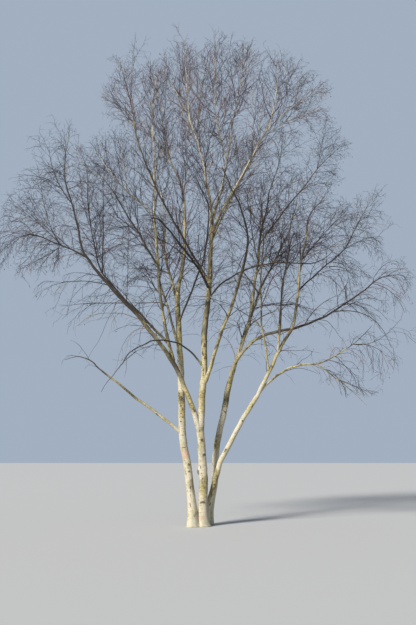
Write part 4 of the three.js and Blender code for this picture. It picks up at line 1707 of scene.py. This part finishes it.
@dataclass
class Wiring:
    """Adds nodes to a tree and joins them."""

    tree: bpy.types.NodeTree

    def add(self, kind: str, inputs: dict | None = None, **settings: object) -> bpy.types.Node:
        """Adds a node.

        Args:
            kind: The node's type.
            inputs: Values or sockets for its inputs, by name or number.
            settings: Values for its own settings.

        Returns:
            The node.
        """
        node = self.tree.nodes.new(kind)
        for key, value in settings.items():
            setattr(node, key, value)
        for key, value in (inputs or {}).items():
            if isinstance(value, Socket):
                self.tree.links.new(value, node.inputs[key])
            else:
                node.inputs[key].default_value = value
        return node

    def sum(self, operation: str, first: Source, second: Source) -> Socket:
        """Returns the result of a sum on two values."""
        return self.add("ShaderNodeMath", {0: first, 1: second}, operation=operation).outputs[0]

    def plus(self, first: Source, second: Source) -> Socket:
        """Returns both values added up."""
        return self.sum("ADD", first, second)

    def less(self, first: Source, second: Source) -> Socket:
        """Returns the first value without the second."""
        return self.sum("SUBTRACT", first, second)

    def times(self, first: Source, second: Source) -> Socket:
        """Returns the first value times the second."""
        return self.sum("MULTIPLY", first, second)

    def most(self, first: Source, second: Source) -> Socket:
        """Returns the larger value."""
        return self.sum("MAXIMUM", first, second)

    def steps(self, value: Source, low: Source, high: Source) -> Socket:
        """Returns 0 below low, 1 above high, and a smooth rise between them."""
        inputs = {"Value": value, "From Min": low, "From Max": high}
        return self.add("ShaderNodeMapRange", inputs, interpolation_type="SMOOTHSTEP").outputs[0]

    def mix(self, share: Source, first: Source, second: Source) -> Socket:
        """Returns a mix of two colours."""
        inputs = {0: share, 6: first, 7: second}
        return self.add("ShaderNodeMix", inputs, data_type="RGBA").outputs[2]

    def moved(self, place: Socket, stretch: tuple, shift: tuple = (0, 0, 0)) -> Socket:
        """Returns a place stretched along its axes and shifted."""
        inputs = {"Vector": place, "Location": shift, "Scale": stretch}
        return self.add("ShaderNodeMapping", inputs).outputs[0]

    def noise(self, place: Socket, grain: tuple) -> Socket:
        """Returns noise by its stretch along each axis and its detail."""
        inputs = {"Vector": self.moved(place, grain[:3]), "Scale": 1.0, "Detail": grain[3]}
        return self.add("ShaderNodeTexNoise", inputs).outputs["Fac"]

    def attribute(self, name: str) -> Socket:
        """Returns the vector that a mesh holds for each vertex under a name."""
        return self.add("ShaderNodeAttribute", attribute_name=name).outputs["Vector"]

    def parts(self, vector: Socket) -> list[Socket]:
        """Returns the three parts of a vector."""
        return list(self.add("ShaderNodeSeparateXYZ", {0: vector}).outputs)


class EffectGroup(Wiring):
    """A shader node group that works out masks and values from a place on the bark."""

    def __init__(self, name: str, *values: str) -> None:
        """Makes the group with its inputs.

        Args:
            name: The group's name.
            values: The names of the values that it takes besides the place.
        """
        super().__init__(bpy.data.node_groups.new(name, "ShaderNodeTree"))
        sockets = self.tree.interface
        sockets.new_socket("Place", in_out="INPUT", socket_type="NodeSocketVector")
        for label in values:
            sockets.new_socket(label, in_out="INPUT", socket_type="NodeSocketFloat")
        self.given = self.add("NodeGroupInput").outputs

    def finished(self, **results: Socket) -> bpy.types.NodeTree:
        """Gives the group its outputs.

        Args:
            results: The socket behind each output, by the output's name.

        Returns:
            The group's tree.
        """
        for label in results:
            self.tree.interface.new_socket(label, in_out="OUTPUT", socket_type="NodeSocketFloat")
        self.add("NodeGroupOutput", results)
        return self.tree


@dataclass(frozen=True)
class Lenticels:
    """The short level slits in birch bark: a mask that is 1 in a slit."""

    short: tuple = (38, 38, 300, 1)
    long: tuple = (14, 14, 120, 1)
    level: float = 0.80
    short_edge: float = 0.05
    long_edge: float = 0.04
    long_depth: float = 0.8

    def group(self) -> bpy.types.NodeTree:
        """Builds the node group.

        Returns:
            Its tree.
        """
        made = EffectGroup("lenticels", "Share")
        level = made.less(self.level, made.given["Share"])
        short, long = [
            made.steps(made.noise(made.given["Place"], grain), level, made.plus(level, edge))
            for grain, edge in ((self.short, self.short_edge), (self.long, self.long_edge))
        ]
        return made.finished(Mask=made.most(short, made.times(long, self.long_depth)))


@dataclass(frozen=True)
class Patches:
    """The rough patches on bark: a mask with ragged edges, and its fine grain."""

    broad: tuple = (7, 7, 3.2, 5)
    broad_share: float = 0.82
    fine: tuple = (60, 60, 42, 4)
    fine_share: float = 0.18
    level: float = 0.75
    swing: float = 0.5

    def group(self) -> bpy.types.NodeTree:
        """Builds the node group.

        Returns:
            Its tree.
        """
        made = EffectGroup("patches", "Share", "Edge")
        broad = made.noise(made.given["Place"], self.broad)
        fine = made.noise(made.given["Place"], self.fine)
        ragged = made.plus(made.times(broad, self.broad_share), made.times(fine, self.fine_share))
        level = made.less(self.level, made.times(made.given["Share"], self.swing))
        mask = made.steps(ragged, level, made.plus(level, made.given["Edge"]))
        return made.finished(Mask=mask, Grain=fine)


@dataclass(frozen=True)
class Peeling:
    """The level strips where the outer bark peels: a mask and its lifted edge."""

    strips: tuple = (5, 5, 26, 3)
    level: float = 0.72
    swing: float = 0.4
    edge: float = 0.03
    lift_narrow: float = 28.0

    def group(self) -> bpy.types.NodeTree:
        """Builds the node group.

        Returns:
            Its tree.
        """
        made = EffectGroup("peeling", "Share")
        strips = made.noise(made.given["Place"], self.strips)
        level = made.less(self.level, made.times(made.given["Share"], self.swing))
        mask = made.steps(strips, level, made.plus(level, self.edge))
        off = made.times(made.less(strips, level), self.lift_narrow)
        lift = made.less(1.0, made.sum("ABSOLUTE", off, 0.0))
        return made.finished(Mask=mask, Lift=made.most(lift, 0.0))


@dataclass(frozen=True)
class BarkFinish:
    """Birch bark whose paleness, warmth and grime, painted shade and sunlight among them, come from
    the limb that it covers.
    """

    name: str
    white: tuple = (0.60, 0.555, 0.425, 1)
    cream: tuple = (0.43, 0.368, 0.165, 1)
    olive: tuple = (0.155, 0.132, 0.047, 1)
    dark: tuple = (0.045, 0.036, 0.028, 1)
    peach: tuple = (0.60, 0.40, 0.29, 1)
    grey: tuple = (0.27, 0.258, 0.20, 1)
    slit: tuple = (0.045, 0.038, 0.034, 1)
    dust: tuple = (0.27, 0.23, 0.15, 1)
    olive_from: tuple = (0.05, 0.40)
    cream_from: tuple = (0.30, 0.62)
    white_from: tuple = (0.60, 0.92)
    drift: tuple = (5, 5, 1.4, 4)
    drift_swing: float = 3.0
    drift_calm: float = 1.5
    mottle: tuple = (18, 18, 26, 3)
    mottle_swing: float = 0.9
    peeling: float = 0.30
    peach_share: float = 0.75
    weather_edge: float = 0.10
    grey_share: float = 0.85
    blotch_grime: float = 0.72
    blotch_edge: float = 0.03
    blotch_stretch: tuple = (2.1, 2.1, 1.7)
    blotch_shift: tuple = (3.1, 1.7, 5.3)
    blotch_share: float = 0.9
    lenticels: float = 0.13
    slit_share: float = 0.85
    mark_grain: float = 0.9
    mark_level: float = 0.45
    # The dark crotch mark: partly black fork bark, partly painted shade
    crotch_steps: tuple = (0.35, 0.75)
    crotch_share: float = 0.88
    eye_steps: tuple = (0.30, 0.62)
    eye_share: float = 0.9
    dust_paleness: float = 0.6
    dust_swing: float = 0.31
    dust_least: float = 0.04
    roughness: float = 0.55
    grain_roughness: float = 0.45
    slit_depth: float = 0.8
    blotch_height: float = 0.9
    relief: float = 0.0035
    relief_strength: float = 0.9
    specular: float = 0.35

    def paleness(self, wiring: Wiring, place: Socket, pale: Socket) -> Socket:
        """Lets the limb's paleness drift along it and mottle.

        Args:
            wiring: The material's wiring.
            place: The place on the bark.
            pale: The limb's paleness.

        Returns:
            The paleness at each place.
        """
        drift, mottle = [
            wiring.less(wiring.noise(place, grain), 0.5) for grain in (self.drift, self.mottle)
        ]
        swing = wiring.less(self.drift_swing, wiring.times(pale, self.drift_calm))
        broad = wiring.times(drift, swing)
        small = wiring.times(mottle, self.mottle_swing)
        return wiring.plus(pale, wiring.plus(broad, small))

    def material(self, groups: dict[str, bpy.types.NodeTree]) -> bpy.types.Material:
        """Builds the material.

        Args:
            groups: The effect groups by name.

        Returns:
            The material.
        """
        material = bpy.data.materials.new(self.name)
        material.use_nodes = True
        material.node_tree.nodes.clear()
        wiring = Wiring(material.node_tree)
        place = wiring.attribute("bark_place")
        fork, scar, girth = wiring.parts(wiring.attribute("bark_marks"))
        pale, warm, grime = wiring.parts(wiring.attribute("bark_tone"))

        def effect(name: str, **inputs: Source) -> bpy.types.bpy_prop_collection:
            """Places an effect group and returns its outputs."""
            inputs = {"Place": place, **inputs}
            return wiring.add("ShaderNodeGroup", inputs, node_tree=groups[name]).outputs

        peel = effect("peeling", Share=wiring.times(warm, self.peeling))
        weather = effect("patches", Share=grime, Edge=self.weather_edge)
        blotch = effect(
            "patches",
            Place=wiring.moved(place, self.blotch_stretch, self.blotch_shift),
            Share=wiring.times(grime, self.blotch_grime),
            Edge=self.blotch_edge,
        )
        slits = effect("lenticels", Share=wiring.times(girth, self.lenticels))
        ragged = wiring.less(wiring.times(weather["Grain"], self.mark_grain), self.mark_level)
        # Dark crotch near forks: partly birch's black fork bark, partly painted shade
        crotch_black_and_shade = wiring.steps(wiring.plus(fork, ragged), *self.crotch_steps)
        eye = wiring.steps(wiring.plus(scar, ragged), *self.eye_steps)
        dusty = wiring.times(wiring.steps(pale, 0.0, self.dust_paleness), self.dust_swing)
        lit = self.paleness(wiring, place, pale)
        colour = self.dark
        for levels, paler in (
            (self.olive_from, self.olive),
            (self.cream_from, self.cream),
            (self.white_from, self.white),
        ):
            colour = wiring.mix(wiring.steps(lit, *levels), colour, paler)
        for mask, share, over in (
            (peel["Mask"], wiring.times(pale, self.peach_share), self.peach),
            (weather["Mask"], wiring.times(pale, self.grey_share), self.grey),
            (blotch["Mask"], self.blotch_share, self.dark),
            (slits["Mask"], self.slit_share, self.slit),
            (crotch_black_and_shade, self.crotch_share, self.slit),
            (eye, self.eye_share, self.slit),
            (weather["Grain"], wiring.plus(dusty, self.dust_least), self.dust),
        ):
            colour = wiring.mix(wiring.times(mask, share), colour, over)
        rough = wiring.plus(self.roughness, wiring.times(weather["Grain"], self.grain_roughness))
        height = wiring.plus(weather["Grain"], peel["Lift"])
        height = wiring.less(height, wiring.times(slits["Mask"], self.slit_depth))
        height = wiring.plus(height, wiring.times(blotch["Mask"], self.blotch_height))
        relief = {"Height": height, "Distance": self.relief, "Strength": self.relief_strength}
        shader = wiring.add(
            "ShaderNodeBsdfPrincipled",
            {
                "Base Color": colour,
                "Roughness": rough,
                "Normal": wiring.add("ShaderNodeBump", relief).outputs[0],
                "Specular IOR Level": self.specular,
            },
        )
        result = wiring.add("ShaderNodeOutputMaterial", {"Surface": shader.outputs[0]})
        result.is_active_output = True
        return material


@dataclass(frozen=True)
class PlainFinish:
    """A plain skin of one colour."""

    name: str
    colour: tuple
    roughness: float
    specular: float = 0.22

    def material(self) -> bpy.types.Material:
        """Builds the material.

        Returns:
            The material.
        """
        material = bpy.data.materials.new(self.name)
        material.use_nodes = True
        inputs = material.node_tree.nodes["Principled BSDF"].inputs
        inputs["Base Color"].default_value = (*self.colour, 1)
        inputs["Roughness"].default_value = self.roughness
        inputs["Specular IOR Level"].default_value = self.specular
        return material


@dataclass(frozen=True)
class TwigFinish(PlainFinish):
    """The plain skin of fine twigs, dealt out by spray: its share low and high in the crown."""

    low_share: float = 0.0
    high_share: float = 0.0


TWIG_FINISHES = (
    TwigFinish("twig_plum", (0.036, 0.017, 0.026), 0.58, low_share=0.34, high_share=0.34),
    TwigFinish("twig_umber", (0.024, 0.017, 0.014), 0.64, low_share=0.40, high_share=0.12),
    TwigFinish("twig_russet", (0.130, 0.048, 0.036), 0.52, low_share=0.06, high_share=0.32),
    TwigFinish("twig_ash", (0.075, 0.059, 0.048), 0.68, low_share=0.07, high_share=0.04),
    TwigFinish("twig_tan", (0.22, 0.155, 0.09), 0.60, low_share=0.03, high_share=0.05),
)
CATKIN_FINISHES = (
    PlainFinish("catkin_brown", (0.085, 0.054, 0.032), 0.75),
    PlainFinish("catkin_purple", (0.060, 0.034, 0.030), 0.70),
)


@dataclass
class Bark:
    """The bark of every stem, limb and crown bough."""

    skeleton: Skeleton
    crown: CrownField
    finish: BarkFinish = BarkFinish("birch_bark")
    sides: tuple = ((0.07, 26), (0.03, 14), (0.016, 9), (0.009, 7), (0.0, 5))

    def build(self) -> list[bpy.types.Object]:
        """Makes a piece for each limb of the model, and joins the crown's boughs by mass.

        Returns:
            The pieces.
        """
        groups = {"lenticels": Lenticels(), "patches": Patches(), "peeling": Peeling()}
        material = self.finish.material({name: kind.group() for name, kind in groups.items()})
        slots = {limb.name: limb.finish.value for limb in LIMBS}
        pieces = []
        by_mass: dict[int, list[Shape]] = {}
        for seed, (name, run) in enumerate(self.skeleton.runs.items()):
            line = self.skeleton.lines[name]
            sides = next(sides for least, sides in self.sides if line.radii[1] > least)
            shape = BarkTube(run, self.skeleton, seed, sides).shape()
            if name in slots:
                piece = make_piece("bark_" + name, shape, [material])
                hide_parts(*(part for part in run if part in slots))
                pieces.append(piece)
                continue
            owner = int(self.crown.owner_of(line.points[len(line.points) // 2][None])[0])
            by_mass.setdefault(owner, []).append(shape)
        for owner, shapes in by_mass.items():
            name = MASSES[owner].replace("twigs_", "boughs_")
            pieces.append(make_piece(name, join_shapes(shapes), [material]))
        return pieces


@dataclass
class Crown:
    """The branches, shoots and twigs that grow on from the limbs."""

    skeleton: Skeleton
    grower: Grower
    thickest: float = 0.075
    wider_on_boughs: float = 1.5
    wider_on_limbs: tuple = (1.3, 3)
    bough_sides: int = 5
    fine_sides: int = 3
    red_from: float = 7.5
    red_rise: float = 3.0
    red_width: Curve = Curve((1.3, 3.0), (1, 0.35))

    def build(self) -> tuple[list[bpy.types.Object], Strands]:
        """Grows the crown and makes a piece for each mass of twigs.

        Returns:
            The pieces and the finest twigs.
        """
        lines = self.skeleton.lines.values()
        limbs = Strands.from_lines([line for line in lines if line.radii[1] < self.thickest])
        on_boughs = self.wider_on_boughs
        on_limbs, most_on_limbs = self.wider_on_limbs
        boughs = self.grow_from([(limbs, 1)], SIDE_BOUGHS)
        boughs.spray = np.arange(len(boughs.counts))
        limbs.spray = limbs.spray + len(boughs.counts)
        branches = self.grow_from([(boughs, 1), (limbs, on_limbs)], BRANCHES)
        carriers = [(branches, 1), (boughs, on_boughs), (limbs, most_on_limbs)]
        shoots = self.grow_from(carriers, SHOOTS)
        twigs = self.grow_from([(shoots, 1), (branches, on_boughs)], TWIGS)
        tints = self.deal_tints(np.concatenate([boughs.points[:, 0], limbs.middles()]))
        materials = [finish.material() for finish in TWIG_FINISHES]
        pieces = []
        for owner, name in enumerate(MASSES):
            shapes = []
            for strands in (boughs, branches, shoots, twigs):
                sides = self.bough_sides if strands is boughs else self.fine_sides
                mine = strands.pick(self.grower.crown.owner_of(strands.middles()) == owner)
                if len(mine.counts):
                    shapes.append(mine.shape(sides, tints[mine.spray]))
            spray = name.replace("twigs_", "spray_")
            piece = make_piece(spray, join_shapes(shapes), materials)
            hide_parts(name)
            pieces.append(piece)
        return pieces, twigs

    def grow_from(self, carriers: list[tuple[Strands, float]], rule: Rule) -> Strands:
        """Grows an order of strands from carriers, each with how much wider its sites lie."""
        sites = [strands.sites(rule, wider, self.grower.rng) for strands, wider in carriers]
        return self.grower.grow(Sites.joined(sites), rule)

    def deal_tints(self, feet: Array) -> Array:
        """Deals twig finishes out to sprays, the redder ones high up in the middle.

        Args:
            feet: Where each spray leaves its limb.

        Returns:
            The index of each spray's finish.
        """
        low, high = np.array([(dye.low_share, dye.high_share) for dye in TWIG_FINISHES]).T
        level = np.clip((feet[:, 2] - self.red_from) / self.red_rise, 0, 1)
        level = (level * self.red_width.at(np.abs(feet[:, 0])))[:, None]
        bounds = np.cumsum(low * (1 - level) + high * level, axis=1)
        draws = self.grower.rng.random(len(feet))[:, None]
        return (draws * bounds[:, -1:] > bounds).sum(1)


@dataclass
class Catkins:
    """The catkins that hang in twos and threes at the tips of some twigs."""

    grower: Grower
    share: float = 0.075
    share_by_cover: Curve = Curve((0.2, 0.6), (2.4, 0.6))
    fewest: int = 2
    most: int = 3
    margin: float = 0.06
    onward: float = 0.5
    hang: float = 0.6
    spread: float = 0.35
    sizes: tuple = (0.7, 1.2)
    length: float = 0.042
    width: float = 0.009
    tilt: float = 0.01
    ring_places: tuple = (0.0, 0.25, 0.65, 1.0)
    ring_widths: tuple = (0.25, 1.0, 0.9, 0.0)
    sides: int = 4
    pieces: int = 4

    def triangles(self) -> Array:
        """Joins one catkin's rings, the last of which is its point.

        Returns:
            The triangles.
        """
        starts = np.arange(len(self.ring_places)) * self.sides
        sheets = ring_sheets(starts[:-1], starts[1:], self.sides)
        sheet = np.concatenate(sheets, 1).reshape(-1, 3)[: -self.sides]
        return np.vstack([sheet, [[k, k - 1, 0] for k in range(2, self.sides)]])

    def build(self, twigs: Strands) -> list[bpy.types.Object]:
        """Hangs the catkins.

        Args:
            twigs: The finest twigs.

        Returns:
            The pieces.
        """
        rng = self.grower.rng
        ends = twigs.ends()
        chance = self.share * self.share_by_cover.at(self.grower.crown.cover_at(ends))
        number = rng.random(len(ends)) < chance
        number = number * rng.integers(self.fewest, self.most + 1, len(ends))
        number = number * self.grower.inside(ends, self.margin)
        start, before = [np.repeat(points, number, axis=0) for points in (ends, twigs.ends(1))]
        sway = rng.normal(0, self.spread, start.shape)
        way = unit(unit(start - before) * self.onward - UP * self.hang + sway)
        size = rng.uniform(*self.sizes, len(start))[:, None]
        aside = unit(np.cross(way, UP + self.tilt))
        spokes = spoke_ways(aside, np.cross(way, aside), self.sides)
        rings, widths = np.array(self.ring_places), np.array(self.ring_widths)
        middle = start[:, None] + way[:, None] * (rings[:, None] * self.length * size[:, None])
        wide = (widths * self.width / 2)[:, None, None] * size[:, None, None]
        corners = middle[:, :, None] + spokes[:, None] * wide
        sheet = self.triangles()
        materials = [finish.material() for finish in CATKIN_FINISHES]
        pieces = []
        for part in range(self.pieces):
            mine = corners[part :: self.pieces]
            firsts = np.arange(len(mine)) * len(rings) * self.sides
            triangles = (sheet + firsts[:, None, None]).reshape(-1, 3)
            looks = np.repeat(rng.integers(0, len(materials), len(mine)), len(sheet))
            shape = Shape(mine.reshape(-1, 3), triangles, {}, looks)
            pieces.append(make_piece(f"catkins_{part + 1}", shape, materials))
        return pieces


@dataclass
class Studio:
    """The floor, the light and the camera."""

    eye: tuple = (0.12, -15.0, 1.55)
    pitch: float = 13.5
    lens: float = 35.0
    frame_height: float = 36.0
    far: float = 600.0
    floor_size: float = 400.0
    floor: PlainFinish = PlainFinish("pale_floor", (0.50, 0.505, 0.51), 0.9, 0.5)
    sky_colour: tuple = (0.36, 0.43, 0.53, 1)
    sky_strength: float = 1.0
    room_light: float = 0.62
    sun_colour: tuple = (1.0, 0.95, 0.87)
    sun_strength: float = 5.2
    sun_turn: tuple = (58, 0, -42)
    sun_spread: float = 12

    def build(self) -> None:
        """Makes the floor, the light and the camera."""
        self.lay_floor()
        self.light_room()
        self.hang_sun()
        self.set_camera()

    def lay_floor(self) -> None:
        """Lays the floor."""
        mesh = bpy.data.meshes.new("floor")
        half = self.floor_size / 2
        corners = [(-half, -half, 0), (half, -half, 0), (half, half, 0), (-half, half, 0)]
        mesh.from_pydata(corners, [], [(0, 1, 2, 3)])
        mesh.materials.append(self.floor.material())
        floor = put_in_scene("floor", mesh)

    def light_room(self) -> None:
        """Gives the room a plain colour that the camera sees and a softer light."""
        world = bpy.data.worlds.new("pale_room")
        world.use_nodes = True
        world.node_tree.nodes.clear()
        wiring = Wiring(world.node_tree)
        rays = wiring.add("ShaderNodeLightPath").outputs["Is Camera Ray"]
        dim, plain = [
            wiring.add("ShaderNodeBackground", {"Color": self.sky_colour, "Strength": strength})
            for strength in (self.room_light, self.sky_strength)
        ]
        seen = wiring.add("ShaderNodeMixShader", {0: rays, 1: dim.outputs[0], 2: plain.outputs[0]})
        wiring.add("ShaderNodeOutputWorld", {"Surface": seen.outputs[0]})
        bpy.context.scene.world = world
        bpy.context.scene.view_settings.view_transform = "Standard"

    def hang_sun(self) -> None:
        """Hangs the soft key light."""
        light = bpy.data.lights.new("key", "SUN")
        light.energy = self.sun_strength
        light.angle = math.radians(self.sun_spread)
        light.color = self.sun_colour
        key = put_in_scene("key", light)
        key.rotation_euler = [math.radians(value) for value in self.sun_turn]

    def set_camera(self) -> None:
        """Sets the camera where the photo's stood."""
        lens = bpy.data.cameras.new("camera")
        lens.lens = self.lens
        lens.sensor_fit = "VERTICAL"
        lens.sensor_height = self.frame_height
        lens.clip_end = self.far
        camera = put_in_scene("camera", lens)
        camera.location = self.eye
        camera.rotation_euler = (math.radians(90 + self.pitch), 0, 0)
        bpy.context.scene.camera = camera


def main() -> None:
    """Builds the tree and its studio."""
    logging.basicConfig(level=logging.INFO, format="%(message)s")
    Studio().build()
    crown = CrownField()
    skeleton = Skeleton()
    grower = Grower(crown)
    grower.extend(skeleton)
    bark = Bark(skeleton, crown).build()
    sprays, twigs = Crown(skeleton, grower).build()
    for piece in [*bark, *sprays, *Catkins(grower).build(twigs)]:
        log.info("%s: %d triangles", piece.name, len(piece.data.polygons))


if __name__ == "__main__":
    main()
